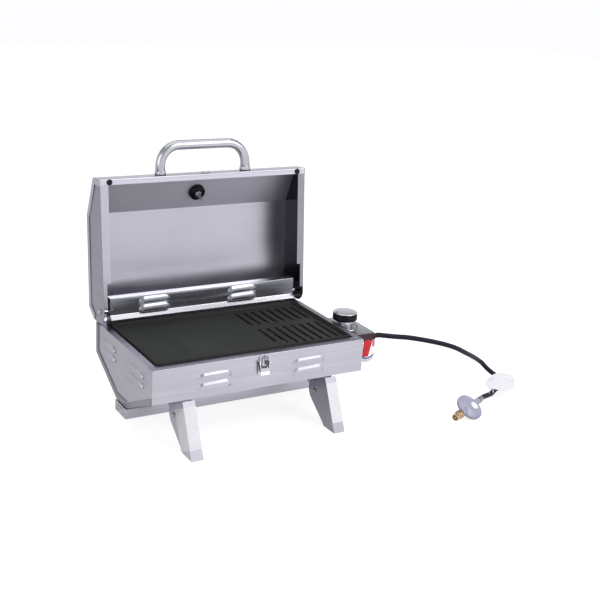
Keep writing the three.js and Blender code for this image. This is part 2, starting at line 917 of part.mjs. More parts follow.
function makeKnob() {
  const top = knobBottom + knobSkirt;
  const recess = knobBottom + knobRecessDepth;
  const profile = [
    [0, recess], [knobRecess, recess], [knobRecess, knobBottom], [knobRadius - sheet, knobBottom],
    [knobRadius, knobBottom + sheet], [knobRadius, top], [0, top],
  ];
  const body = spin(profile, knobSides, [knobX, knobY, 0], unitZ);
  const bore = sweepZ(
    circle(knobX, knobY, stemRadius + gap / 2, boltSides), recess - overrun, top - sheet,
  );
  return cut(body, [bore]);
}

function makeKnobCap() {
  const base = knobBottom + knobSkirt + gap;
  const rim = knobRadius - gap;
  const rise = knobCapHeight - knobCapRim;
  const dome = Array.from({ length: knobCapSteps + 1 }, (_, index) => {
    const angle = (1 - index / knobCapSteps) * quarter;
    const radius = knobCapFlatShare * rim + (1 - knobCapFlatShare) * rim * Math.sin(angle);
    return [radius, base + knobCapRim + rise * Math.cos(angle)];
  });
  const profile = [[0, base], [rim, base], ...dome, [0, base + knobCapHeight]];
  const cap = spin(profile, knobSides, [knobX, knobY, 0], unitZ);
  const dot = sweepZ(
    circle(knobX - knobRadius + 3 * pointerRadius, knobY, pointerRadius, smallSides),
    base + knobCapHeight / 2, base + knobCapHeight + overrun,
  );
  return cut(cap, [dot]);
}

// Inlet pipe from the valve to the hose
const inletEnd = boxRight + gap + inletNutLength;
const hoseStart = inletEnd + gap;
function makeInlet() {
  const start = knobY - valveHalf - nozzleLength - gap;
  const line = [[knobX, start, -inletDrop], [knobX, inletY, -inletDrop], [inletEnd, inletY, -inletDrop]];
  const pipe = tube(rounded(line, inletBend, bendSteps + 1), inletRadius, boltSides);
  const nut = sweepX(
    circle(inletY, -inletDrop, inletNut, nutSides), boxRight + gap, inletEnd,
  );
  return join([pipe, nut]);
}

// Grease tray, hung by its lips on two rails
const trayFace = -troughDepth - trayTop;
function makeTray() {
  const line = [
    [trayLip - trayFront, trayFace], [-trayFront, trayFace], [-trayFront, -troughDepth - trayBottom],
    [trayRear, -troughDepth - trayBottom], [trayRear, trayFace], [trayRear - trayLip, trayFace],
  ];
  const pan = sweepX(fold(line, sheet), -trayLeft, trayRight);
  const endWall = (from, to, top) => block(
    [from, -trayFront + sheet / 2, -troughDepth - trayBottom + sheet / 2], [to, trayRear - sheet / 2, top],
  );
  const left = endWall(-trayLeft, sheet - trayLeft, trayFace - sheet / 2);
  const right = endWall(trayRight - sheet, trayRight, -troughDepth - railWeb - sheet - 3 * gap);
  return join([pan, left, right, makePull()]);
}

function makeRail(edge, side) {
  const top = -troughDepth - gap;
  const inner = edge - side * (trayLip + 2 * sheet);
  const outer = edge - side * (sheet + gap + sheet);
  const low = trayFace - sheet - gap;
  const line = [[edge, top], [inner, top], [inner, low - sheet], [outer, low - sheet]];
  const thickness = side > 0 ? -sheet : sheet;
  return sweepX(fold(line, -thickness, sheet), -railHalf, railHalf);
}

function makePull() {
  const face = sheet / 2 - trayLeft;
  const low = trayFace - 2 * pullBend;
  const line = [
    [face, pullMiddle - pullHalf, low], [face - pullReach, pullMiddle - pullHalf, low],
    [face - pullReach, pullMiddle - pullHalf, low + pullRise],
    [face - pullReach, pullMiddle + pullHalf, low + pullRise],
    [face - pullReach, pullMiddle + pullHalf, low], [face, pullMiddle + pullHalf, low],
  ];
  const small = pullBend / 2;
  return tube(rounded(line, [small, pullBend, pullBend, small], bendSteps), pullWire, smallSides);
}

// One front leg on the right; the others are its mirror images
function makeLeg() {
  const hip = [];
  for (let step = 0; step <= legHipSteps; step += 1) {
    const angle = THREE.MathUtils.degToRad(THREE.MathUtils.lerp(legHipFrom, legHipTo, step / legHipSteps));
    hip.push([legHipRadius * Math.cos(angle) - legPivotY, legHipRadius * Math.sin(angle) - legPivotZ]);
  }
  const ground = -rimHeight;
  const outline = [
    [-legTopY, -legTopZ], [-toeY, ground], [-heelY, ground], [-heelRiseY, -heelRiseZ], [-shinY, -shinZ],
    [-kneeY, -kneeZ], ...hip,
  ];
  const channel = sweepX(outline, legInner, legOuter);
  const inside = moved([[-legTopY, -legTopZ], [-toeY, ground], [-heelY, ground]], sheet);
  const slope = new THREE.Vector2(toeY - legTopY, rimHeight - legTopZ).normalize().multiplyScalar(overrun);
  const hollowOutline = [
    [inside[0][0] + slope.x, inside[0][1] + slope.y], inside[1], [inside[2][0] + overrun, inside[2][1]],
    [-shinY + overrun, -shinZ - overrun], [-kneeY + 2 * legHipRadius, -kneeZ],
    [-kneeY + 2 * legHipRadius, -legTopZ], [-legPivotY, overrun - legTopZ],
  ];
  const hollowCut = sweepX(hollowOutline, legInner + sheet, legOuter - sheet);
  const hole = sweepX(
    circle(-legPivotY, -legPivotZ, pinRadius + gap, smallSides), legInner - overrun, legOuter + overrun,
  );
  return cut(channel, [hollowCut, hole]);
}

function makeLegBracket(side) {
  const left = legInner + sheet + gap;
  const right = legOuter - sheet - gap;
  const under = (distance) => [-distance, slopeHeight(distance, side) - gap];
  const start = under(bracketFront);
  const end = under(bracketBack);
  const lobe = circle(-legPivotY, -legPivotZ, bracketLobe, boltSides)
    .filter(([, z]) => z < -legPivotZ + gap)
    .sort((a, b) => a[0] - b[0]);
  const channel = sweepX([start, ...lobe, end], left, right);
  const inside = [under(bracketFront + overrun), under(bracketBack - overrun)];
  const room = [
    [inside[0][0], inside[0][1] - sheet], [inside[1][0], inside[1][1] - sheet], [inside[1][0], -rimHeight],
    [inside[0][0], -rimHeight],
  ];
  const hollowCut = sweepX(room, left + sheet, right - sheet);
  const hole = sweepX(
    circle(-legPivotY, -legPivotZ, pinRadius + gap, smallSides), left - overrun, right + overrun,
  );
  return cut(channel, [hollowCut, hole]);
}

function makeLegPin() {
  const left = legInner - gap;
  const right = legOuter + gap;
  const profile = [
    [0, left - pinHeadHeight], [pinHead - sheet, left - pinHeadHeight], [pinHead, left], [pinRadius, left],
    [pinRadius, right], [pinHead, right], [pinHead - sheet, right + pinHeadHeight],
    [0, right + pinHeadHeight],
  ];
  return spin(profile, smallSides, [0, -legPivotY, -legPivotZ], unitX);
}

// Lid, modelled closed and turned open by its group
const lidLine = [
  [lidFrontFlange - halfDepth, lidGap],
  [-halfDepth, lidGap],
  [-halfDepth, lidFront],
  [creaseY, creaseZ],
  [shoulderY, shoulderZ],
  [wrapEndY, wrapEndZ],
];
const slantDirection = new THREE.Vector2(creaseY + halfDepth, creaseZ - lidFront).normalize();
const slantNormal = new THREE.Vector3(0, -slantDirection.y, slantDirection.x);
const dialMiddle = [
  dialX, slantDirection.x * dialAlong - halfDepth, slantDirection.y * dialAlong + lidFront,
];

function makeLidSheet() {
  const wrap = sweepX(fold(lidLine, -sheet), -lapOutside, lapOutside);
  const lapLine = lidLine.slice(1);
  const lap = sweepX(lapLine.concat(moved(lapLine, -lapWidth).reverse()), lapInside, lapOutside);
  const ends = block(
    [halfWidth - gap, -halfDepth + sheet, lidGap - overrun], [lapOutside + overrun, 0, lidGap + sheet],
  );
  const profile = [[0, -overrun], [dialHole, -overrun], [dialHole, overrun], [0, overrun]];
  const hole = spin(profile, dialSides, dialMiddle, slantNormal);
  return cut(join([cut(wrap, [ends, ends.mirror([1, 0, 0]), hole]), lap, lap.mirror([1, 0, 0])]), [hole]);
}

function makeLidSide() {
  const inside = moved(lidLine, -sheet - gap);
  const edge = halfDepth - sheet - gap;
  const tab = [];
  for (let step = 0; step <= tabSteps; step += 1) {
    const angle = -quarter * (step / tabSteps);
    tab.push([pivotY + tabRadius * Math.cos(angle), pivotZ + tabRadius * Math.sin(angle)]);
  }
  const flangeFront = lidFrontFlange - halfDepth + gap;
  const rearTop = [tabBack, wrapEndZ - 2 * gap];
  const low = lidGap + sheet + gap;
  const outline = [
    [-edge, low + bendRadius], [-edge, inside[2][1]], inside[3], inside[4], inside[5], rearTop, ...tab,
    [pivotY, lidGap], [flangeFront, lidGap], [flangeFront, low], [bendRadius - edge, low],
  ];
  const boltHole = circle(pivotY, pivotZ, boltRadius + gap, boltSides);
  const wall = sweepX(outline, panelInside, halfWidth, [boltHole]);
  const flangeTop = lidGap + sheet;
  const wide = block([halfWidth - lidSideFlange, flangeFront, lidGap], [halfWidth, flangeStep, flangeTop]);
  const narrow = block(
    [halfWidth - lidRearFlange, flangeStep - sheet, lidGap], [halfWidth, flangeEnd, flangeTop],
  );
  return join([wall, wide, narrow]);
}

function makeHandle() {
  const face = -halfDepth - gap;
  const out = -halfDepth - handleReach;
  const line = [
    [-handleHalf, face, handleZ], [-handleHalf, out, handleZ],
    [handleHalf, out, handleZ], [handleHalf, face, handleZ],
  ];
  return tube(rounded(line, handleBend, handleBendSteps), handleRadius, handleSides);
}

function makeHandleCollar() {
  const face = halfDepth + gap;
  const profile = [
    [handleRadius + collarFit, face], [collarRadius, face], [collarRadius, face + collarLength - sheet],
    [collarRadius - sheet / 2, face + collarLength], [handleRadius + collarFit, face + collarLength],
    [handleRadius + collarFit, face],
  ];
  return spin(profile, handleSides, [handleHalf, 0, handleZ], unitY.clone().negate());
}

// Thermometer in the lid's slanted face: bezel outside, cup through the hole, nut and stem inside
function makeDialCase() {
  const top = dialBezelHeight + sheet;
  const profile = [
    [0, -dialCupDepth], [dialCup, -dialCupDepth], [dialCup, gap], [dialBezel, gap],
    [dialBezel, dialBezelHeight], [dialBezel - sheet, top], [dialFace + gap, top],
    [dialFace + gap, dialBezelHeight / 2], [0, dialBezelHeight / 2],
  ];
  return spin(profile, dialSides, dialMiddle, slantNormal);
}

function makeDialFace() {
  const base = dialBezelHeight / 2 + gap;
  const profile = [[0, base], [dialFace, base], [dialFace, base + sheet], [0, base + sheet]];
  return spin(profile, dialSides, dialMiddle, slantNormal);
}

function makeNeedle() {
  const base = dialBezelHeight / 2 + 2 * gap + sheet;
  const turn = new THREE.Matrix4().makeBasis(
    unitX, new THREE.Vector3(0, slantDirection.x, slantDirection.y), slantNormal,
  ).setPosition(...dialMiddle);
  const outline = [
    [needleWidth, 0], [needleTip, needleLength], [-needleTip, needleLength], [-needleWidth, 0],
    [0, -needleWidth],
  ];
  return placed(sweepZ(outline, base, base + sheet / 2), turn);
}

function makeLens() {
  const base = dialBezelHeight / 2 + lensRise;
  const profile = [[0, base], [dialFace, base], [dialFace, base + sheet / 2], [0, base + sheet / 2]];
  return spin(profile, dialSides, dialMiddle, slantNormal);
}

function makeDialNut() {
  const top = -dialCupDepth - gap;
  const profile = [
    [0, top], [dialNut, top], [dialNut, top - dialNutHeight], [dialStem, top - dialNutHeight],
    [dialStem, top - dialStemLength], [0, top - dialStemLength],
  ];
  return spin(profile, nutSides, dialMiddle, slantNormal);
}

function makeKeeper() {
  const face = -halfDepth - gap;
  const line = [
    [face, keeperTop], [face, keeperBottom], [face - keeperOut, keeperBottom],
    [face - keeperOut, keeperBottom + keeperLip],
  ];
  return sweepX(fold(line, -sheet, sheet), -keeperHalf, keeperHalf);
}

function makeBumper() {
  const top = lidGap - gap;
  const profile = [
    [0, top - bumperHeight], [bumperRadius - sheet / 2, top - bumperHeight],
    [bumperRadius, top - bumperHeight / 2], [bumperRadius, top], [0, top],
  ];
  return spin(profile, boltSides, [bumperX, -bumperY, 0], unitZ);
}

// Hose: the photographed way, in points chosen by hand
const hoseRoute = [
  [377.2, -83.4, -35.4], [401.1, -89, -38.9], [424.7, -96.4, -41.2], [447.6, -105.1, -44.7],
  [470.5, -113.8, -49], [493.6, -121.2, -54.3], [516.9, -126, -61.1], [540.2, -127.4, -69.7],
  [562.5, -125.1, -80.1], [583.7, -119.3, -91.7], [604.1, -110.9, -103.1], [624.1, -101, -113.9],
  [643.8, -91, -125.3], [663.8, -82.8, -137.4], [683.9, -78.6, -151.2], [701.3, -81.7, -168.4],
  [715.9, -95.2, -181.4], [726.4, -116.4, -186.6], [727.4, -140.7, -186.5],
  [717.2, -162.5, -183.1], [698.3, -177.1, -177.6], [675.5, -184.6, -172.4], [651.7, -190.1, -169],
  [628.8, -199.2, -168.2], [606.9, -211.6, -169.9], [583.9, -221.3, -168.1],
];
const regulatorX = regulatorPort.clone().normalize();
const regulatorLean = regulatorUp.dot(regulatorX);
const regulatorZ = regulatorUp.clone().addScaledVector(regulatorX, -regulatorLean).normalize();
const hoseEnd = regulatorMiddle.clone().addScaledVector(regulatorX, portReach + ferruleLength + 2 * gap);

function makeHose() {
  const start = new THREE.Vector3(hoseStart, inletY, -inletDrop);
  const points = [
    start.clone().addScaledVector(unitX, 2 * hoseRadius),
    ...hoseRoute.map((point) => new THREE.Vector3(...point)),
    hoseEnd.clone().addScaledVector(regulatorX, 2 * hoseRadius),
  ];
  const curve = new THREE.CatmullRomCurve3(points, false, 'centripetal');
  const route = [start, ...curve.getSpacedPoints(hoseSteps), hoseEnd];
  return tube(route.map((point) => point.toArray()), hoseRadius, hoseSides);
}

function alongPort(profile, sides) {
  return spin(profile, sides, regulatorMiddle.toArray(), regulatorX);
}

function makeRegulator() {
  const profile = [
    [0, -discBase], [discBaseRadius, -discBase], [discRadius, -discEdge / 2], [discRadius, discEdge / 2],
    [0, discEdge / 2],
  ];
  const disc = spin(profile, dialSides, regulatorMiddle.toArray(), regulatorZ);
  const ports = alongPort([
    [0, -inletPortReach], [portRadius, -inletPortReach], [portRadius, portReach], [0, portReach],
  ], boltSides);
  const reach = discRadius - sheet;
  const above = spin(
    [[0, discEdge / 2], [reach, discEdge / 2], [reach, discRadius], [0, discRadius]],
    dialSides, regulatorMiddle.toArray(), regulatorZ,
  );
  return join([disc, cut(ports, [above])]);
}

function makeCover() {
  const base = discEdge / 2 + gap;
  const profile = [
    [0, base], [coverRadius, base], [coverRadius, base + sheet], [coverTop, base + coverHeight],
    [0, base + coverHeight],
  ];
  const clear = alongPort([
    [0, -2 * discRadius], [portRadius + gap, -2 * discRadius], [portRadius + gap, 2 * discRadius],
    [0, 2 * discRadius],
  ], boltSides);
  return cut(spin(profile, dialSides, regulatorMiddle.toArray(), regulatorZ), [clear]);
}

function makeTankFitting() {
  const start = -inletPortReach - gap;
  const profile = [
    [0, start], [tankNut, start], [tankNut, start - tankNutLength], [tankStep, start - tankNutLength],
    [tankStep, start - tankNutLength - sheet], [tankRing, start - tankNutLength - 2 * sheet],
    [tankRing, start - tankNutLength - 3 * sheet], [tankStep, start - tankNutLength - 4 * sheet],
    [tankStep, start - tankLength], [0, start - tankLength],
  ];
  return alongPort(profile, boltSides);
}

function makeFerrule() {
  const start = portReach + gap;
  const end = start + ferruleLength;
  const neck = ferruleRadius - sheet / 2;
  const profile = [
    [0, start], [ferruleRadius, start], [ferruleRadius, start + ferruleLength / 2],
    [neck, start + ferruleLength / 2], [neck, end], [0, end],
  ];
  return alongPort(profile, boltSides);
}

// Assembly of the base
const grill = new THREE.Group();
const lid = new THREE.Group();
const lidParts = new THREE.Group();
const burnerRoute = burnerLine();
const burnerClear = tube(burnerRoute, burnerRadius + gap, burnerSides);

grill.add(named('trough_sheet', makeTrough(), stainless));
grill.add(named('front_panel', makeFrontPanel(), stainless));
grill.add(named('side_panel_left', join([makeSidePanel(-1), makeBurnerBracket()]), stainless));
grill.add(named('side_panel_right', cut(makeSidePanel(1), [burnerClear]), stainless));
grill.add(named('rear_guard', makeGuard(), polished));
grill.add(named('ledge_right', makeLedge(), stainless));
grill.add(named('ledge_left', makeLedge().mirror([1, 0, 0]), stainless));
grill.add(named('cooking_plate', makePlate(), castIron));
grill.add(named('heat_plate_front', makeTent(-tentMiddle), stainless));
grill.add(named('heat_plate_rear', makeTent(tentMiddle), stainless));
grill.add(named('burner_tube', makeBurner(burnerRoute), stainless));
grill.add(named('ignition_electrode', makeElectrode(), ceramic));
grill.add(named('tray_rail_front', makeRail(-trayFront + sheet, -1), zinc));
grill.add(named('tray_rail_rear', makeRail(trayRear - sheet, 1), zinc));
grill.add(named('control_box', makeControlBox(burnerClear), stainless));
grill.add(named('knob_bezel', makeBezel(), chrome));
grill.add(named('knob_collar', makeCollar(), chrome));
grill.add(named('gas_valve', makeValve(), brass));
grill.add(named('valve_plunger', makePlunger(), brass));
grill.add(named('valve_stem', makeStem(), brass));
grill.add(named('knob', makeKnob(), blackPlastic));
grill.add(named('knob_cap', makeKnobCap(), polished));
grill.add(named('inlet_pipe', makeInlet(), brass));
grill.add(named('latch_base', makeLatchBase(), zinc));
grill.add(named('latch_lever', makeLever(), zinc));
grill.add(named('latch_bail', makeBail(), zinc));
grill.add(named('grease_tray', makeTray(), stainless));

// Four legs, each with its bracket and its pin
const depths = { front: -1, rear: 1 };
const widths = { right: 1, left: -1 };
for (const [depthName, depthSide] of Object.entries(depths)) {
  const pieces = {
    leg: [makeLeg(), stainless],
    leg_bracket: [makeLegBracket(depthSide), stainless],
    leg_pin: [makeLegPin(), zinc],
  };
  for (const [widthName, widthSide] of Object.entries(widths)) {
    for (const [piece, [body, material]] of Object.entries(pieces)) {
      const deep = depthSide > 0 ? body.mirror([0, 1, 0]) : body;
      const turned = widthSide < 0 ? deep.mirror([1, 0, 0]) : deep;
      grill.add(named(`${piece}_${depthName}_${widthName}`, turned, material));
    }
  }
}

// Hinge bolts
grill.add(named('hinge_bolt_right', makeHingeBolt(), chrome));
grill.add(named('hinge_bolt_left', makeHingeBolt().mirror([1, 0, 0]), chrome));

// Assembly of the lid, turned about its hinge
lidParts.add(named('lid_sheet', makeLidSheet(), stainless));
lidParts.add(named('lid_side_right', makeLidSide(), stainless));
lidParts.add(named('lid_side_left', makeLidSide().mirror([1, 0, 0]), stainless));
lidParts.add(named('lid_handle', makeHandle(), chrome));
lidParts.add(named('handle_collar_right', makeHandleCollar(), blackPlastic));
lidParts.add(named('handle_collar_left', makeHandleCollar().mirror([1, 0, 0]), blackPlastic));
lidParts.add(named('thermometer_case', makeDialCase(), blackPlastic));
lidParts.add(named('thermometer_face', makeDialFace(), whiteFace));
lidParts.add(named('thermometer_needle', makeNeedle(), redPaint));
lidParts.add(named('thermometer_lens', makeLens(), lens));
lidParts.add(named('thermometer_probe', makeDialNut(), zinc));
lidParts.add(named('latch_keeper', makeKeeper(), zinc));
lidParts.add(named('bumper_right', makeBumper(), rubber));
lidParts.add(named('bumper_left', makeBumper().mirror([1, 0, 0]), rubber));
lidParts.position.set(0, -pivotY, -pivotZ);
lid.add(lidParts);
lid.position.set(0, pivotY, pivotZ);
lid.rotation.x = -openAngle;
grill.add(lid);

// The origin is under the middle of everything but the gas line, on the ground
const root = new THREE.Group();
root.add(grill);
root.updateMatrixWorld(true);
const bounds = new THREE.Box3().setFromObject(grill, true);
const middle = bounds.getCenter(new THREE.Vector3());

// Gas line
grill.add(named('hose', makeHose(), rubber));
grill.add(named('hose_ferrule', makeFerrule(), zinc));
grill.add(named('regulator_body', makeRegulator(), zinc));
grill.add(named('regulator_cover', makeCover(), zinc));
grill.add(named('tank_fitting', makeTankFitting(), brass));
grill.position.set(-middle.x, -middle.y, rimHeight);
root.updateMatrixWorld(true);

export default root;
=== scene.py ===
"""Finishes of the folding camp grill: materials, small fixings, labels and a plain studio."""

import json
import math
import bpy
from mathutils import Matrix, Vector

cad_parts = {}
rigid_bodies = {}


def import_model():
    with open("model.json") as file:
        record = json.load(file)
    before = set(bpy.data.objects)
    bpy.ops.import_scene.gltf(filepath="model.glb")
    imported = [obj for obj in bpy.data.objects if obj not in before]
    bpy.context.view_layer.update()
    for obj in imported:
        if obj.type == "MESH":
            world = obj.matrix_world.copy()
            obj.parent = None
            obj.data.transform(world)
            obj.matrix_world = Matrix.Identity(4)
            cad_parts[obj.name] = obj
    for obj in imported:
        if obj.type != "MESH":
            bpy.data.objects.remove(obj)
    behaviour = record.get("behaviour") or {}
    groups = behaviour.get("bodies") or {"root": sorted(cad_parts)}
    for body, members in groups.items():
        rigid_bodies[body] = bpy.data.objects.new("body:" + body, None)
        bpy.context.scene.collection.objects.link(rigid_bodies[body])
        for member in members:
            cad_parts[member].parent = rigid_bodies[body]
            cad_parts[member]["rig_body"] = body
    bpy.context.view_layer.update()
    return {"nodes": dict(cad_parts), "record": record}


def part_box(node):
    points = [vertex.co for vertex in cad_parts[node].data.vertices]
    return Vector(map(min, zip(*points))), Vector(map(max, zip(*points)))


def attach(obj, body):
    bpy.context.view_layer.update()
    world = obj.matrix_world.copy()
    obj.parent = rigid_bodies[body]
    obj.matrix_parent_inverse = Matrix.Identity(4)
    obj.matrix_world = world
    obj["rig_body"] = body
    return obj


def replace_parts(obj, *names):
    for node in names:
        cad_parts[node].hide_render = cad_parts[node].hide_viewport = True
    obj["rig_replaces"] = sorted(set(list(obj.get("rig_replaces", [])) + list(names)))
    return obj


bl_info = {
    "name": "Folding Camp Grill Finish",
    "version": (1, 0, 0),
    "blender": (4, 5, 0),
    "location": "View3D > Sidebar > Camp Grill",
    "description": "Dresses the packed folding camp grill and sets a soft studio round it",
    "category": "Object",
}

import bmesh
import bpy
from mathutils import Matrix, Vector

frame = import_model()
SLOTS = {part["node"]: part["material_slot"] for part in frame["record"]["subparts"]}

MM = 0.001
RIGHT = Vector((1, 0, 0))
UP = Vector((0, 0, 1))

# The middle of the rim, from the plate: its lip stands over the rim, and its middle lies before the rim's
PLATE_LIP = 4.5 * MM
PLATE_FORWARD = 6 * MM
PLATE_LOW, PLATE_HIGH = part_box("cooking_plate")
RIM = Vector((
    (PLATE_LOW.x + PLATE_HIGH.x) / 2,
    (PLATE_LOW.y + PLATE_HIGH.y) / 2 + PLATE_FORWARD,
    PLATE_HIGH.z - PLATE_LIP,
))
HINGE = Vector((0, 139, 29))
LID_OPEN = math.radians(95.08)
LID_TURN = Matrix.Rotation(-LID_OPEN, 3, "X")


def spot(x, y, z):
    """A point in millimetres from the middle of the rim, in the frame's metres."""
    return RIM + Vector((x, y, z)) * MM


def lid_spot(x, y, z):
    """A point of the closed lid in millimetres, where it is now that the lid stands open."""
    return RIM + (HINGE + LID_TURN @ (Vector((x, y, z)) - HINGE)) * MM


def standing(centre, way):
    """Takes a thing from the origin to centre, with its Z along way."""
    turn = UP.rotation_difference(Vector(way)).to_matrix().to_4x4()
    return Matrix.Translation(centre) @ turn


# Shader nodes


def add_node(tree, kind, sockets=None, **settings):
    """Adds a node, and links or fills the inputs that sockets names."""
    node = tree.nodes.new(kind)
    for key, value in settings.items():
        setattr(node, key, value)
    for label, value in (sockets or {}).items():
        if isinstance(value, bpy.types.NodeSocket):
            tree.links.new(value, node.inputs[label])
        else:
            node.inputs[label].default_value = value
    return node


def math_node(tree, operation, first, second):
    return add_node(tree, "ShaderNodeMath", {0: first, 1: second}, operation=operation).outputs[0]


def product(tree, first, second):
    return math_node(tree, "MULTIPLY", first, second)


def spread(tree, value, low, high, to_low=0.0, to_high=1.0):
    """The value between low and high, stretched to the other two and held there."""
    sockets = {"Value": value, "From Min": low, "From Max": high, "To Min": to_low, "To Max": to_high}
    return add_node(tree, "ShaderNodeMapRange", sockets).outputs["Result"]


def blend(tree, share, first, second):
    """The first colour where share is nought, the second where it is one."""
    return add_node(tree, "ShaderNodeMix", {0: share, 6: first, 7: second}, data_type="RGBA").outputs[2]


def blend_value(tree, share, first, second):
    return add_node(tree, "ShaderNodeMix", {0: share, 2: first, 3: second}, data_type="FLOAT").outputs[0]


def noise(tree, vector, scale, detail=2.0, roughness=0.5):
    sockets = {"Vector": vector, "Scale": scale, "Detail": detail, "Roughness": roughness}
    return add_node(tree, "ShaderNodeTexNoise", sockets).outputs["Fac"]


def place_on_object(tree):
    return add_node(tree, "ShaderNodeTexCoord").outputs["Object"]


def split(tree, vector):
    return add_node(tree, "ShaderNodeSeparateXYZ", {0: vector}).outputs


def facing(tree):
    return add_node(tree, "ShaderNodeNewGeometry").outputs["Normal"]


def faces_along(tree, axis, sign):
    """One on faces that look along an axis, nought on the others."""
    return spread(tree, split(tree, facing(tree))[axis], 0.4 * sign, 0.75 * sign)


# Shader groups

ALONG_WIDTH = (4, 420, 420)
ALONG_DEPTH = (420, 4, 420)
ALONG_HEIGHT = (420, 420, 4)


def start_group(name, inputs, outputs):
    tree = bpy.data.node_groups.new(name, "ShaderNodeTree")
    for label, kind, value in inputs:
        tree.interface.new_socket(name=label, in_out="INPUT", socket_type=kind).default_value = value
    for label in outputs:
        tree.interface.new_socket(name=label, in_out="OUTPUT", socket_type="NodeSocketFloat")
    return tree, tree.nodes.new("NodeGroupInput").outputs, tree.nodes.new("NodeGroupOutput").inputs


def build_brushed_grain():
    """Fine lines left by the brushing belt, and the dull marks left by hands."""
    inputs = [("Stretch", "NodeSocketVector", ALONG_WIDTH), ("Mark Size", "NodeSocketFloat", 7.0)]
    tree, given, out = start_group("Brushed Grain", inputs, ["Lines", "Streaks", "Marks"])
    place = place_on_object(tree)
    drawn = add_node(tree, "ShaderNodeMapping", {"Vector": place, "Scale": given["Stretch"]}).outputs[0]
    lines = noise(tree, drawn, 1.0, 3.0, 0.6)
    streaks = noise(tree, drawn, 0.13)
    marks = noise(tree, place, given["Mark Size"], 4.0, 0.55)
    tree.links.new(spread(tree, lines, 0.3, 0.7), out["Lines"])
    tree.links.new(spread(tree, streaks, 0.35, 0.65), out["Streaks"])
    tree.links.new(spread(tree, marks, 0.42, 0.7), out["Marks"])


def build_edge_highlight_and_wear():
    """One along edges and corners, nought elsewhere: where edges get a painted highlight, which also stands
    for rubbed wear.
    """
    tree, given, out = start_group("Edge Highlight And Wear", [("Width", "NodeSocketFloat", MM)], ["Edge"])
    rounded = add_node(tree, "ShaderNodeBevel", {"Radius": given["Width"]}, samples=4).outputs[0]
    sockets = {0: rounded, 1: facing(tree)}
    same = add_node(tree, "ShaderNodeVectorMath", sockets, operation="DOT_PRODUCT").outputs["Value"]
    tree.links.new(spread(tree, same, 0.99, 0.85), out["Edge"])


def build_fine_grain():
    """Small bumps of moulded plastic, rubber and cast metal."""
    inputs = [("Size", "NodeSocketFloat", 900.0), ("Patch Size", "NodeSocketFloat", 14.0)]
    tree, given, out = start_group("Fine Grain", inputs, ["Grain", "Patches"])
    place = place_on_object(tree)
    grain = noise(tree, place, given["Size"])
    patches = noise(tree, place, given["Patch Size"], 3.0, 0.6)
    tree.links.new(spread(tree, grain, 0.35, 0.65), out["Grain"])
    tree.links.new(spread(tree, patches, 0.38, 0.66), out["Patches"])


def use_group(tree, name, **values):
    node = add_node(tree, "ShaderNodeGroup", node_tree=bpy.data.node_groups[name])
    for label, value in values.items():
        node.inputs[label.replace("_", " ")].default_value = value
    return node.outputs


# Materials

STEEL_EDGE = 1.2 * MM
CAST_EDGE = 0.9 * MM
STEEL_EDGE_HIGHLIGHT_SHARE = 0.45
CAST_EDGE_HIGHLIGHT_SHARE = 0.6
STREAK_SHARE = 0.5
GRAIN_SHARE = 0.25
EDGE_HIGHLIGHT_AND_WEAR = 1.25
GRAIN_LIGHT = 1.3
MARK_LIGHT = 0.8
PATCH_LIGHT = 0.6
DULL_PAINTED_LIGHT = 1.12
DULL_ROUGH = 0.22
FINE_DEPTH = 0.1 * MM
CAST_DEPTH = 0.2 * MM


def tone(red, green, blue):
    """A colour written as the screen shows it, 0 to 255, as the shader wants it."""
    straight = [channel / 255 / 12.92 if channel < 11 else ((channel / 255 + 0.055) / 1.055) ** 2.4
                for channel in (red, green, blue)]
    return (*straight, 1.0)


def shade(colour, light):
    return (*(min(channel * light, 1.0) for channel in colour[:3]), 1.0)


def start_material(name):
    material = bpy.data.materials.new(name)
    material.use_nodes = True
    tree = material.node_tree
    return tree, tree.nodes["Principled BSDF"]


def finish_material(tree, shader, colour, roughness, height, bump, depth=FINE_DEPTH):
    """Links the colour, the roughness and the small bumps of a material."""
    tree.links.new(colour, shader.inputs["Base Color"])
    tree.links.new(roughness, shader.inputs["Roughness"])
    sockets = {"Height": height, "Strength": bump, "Distance": depth}
    tree.links.new(add_node(tree, "ShaderNodeBump", sockets).outputs[0], shader.inputs["Normal"])


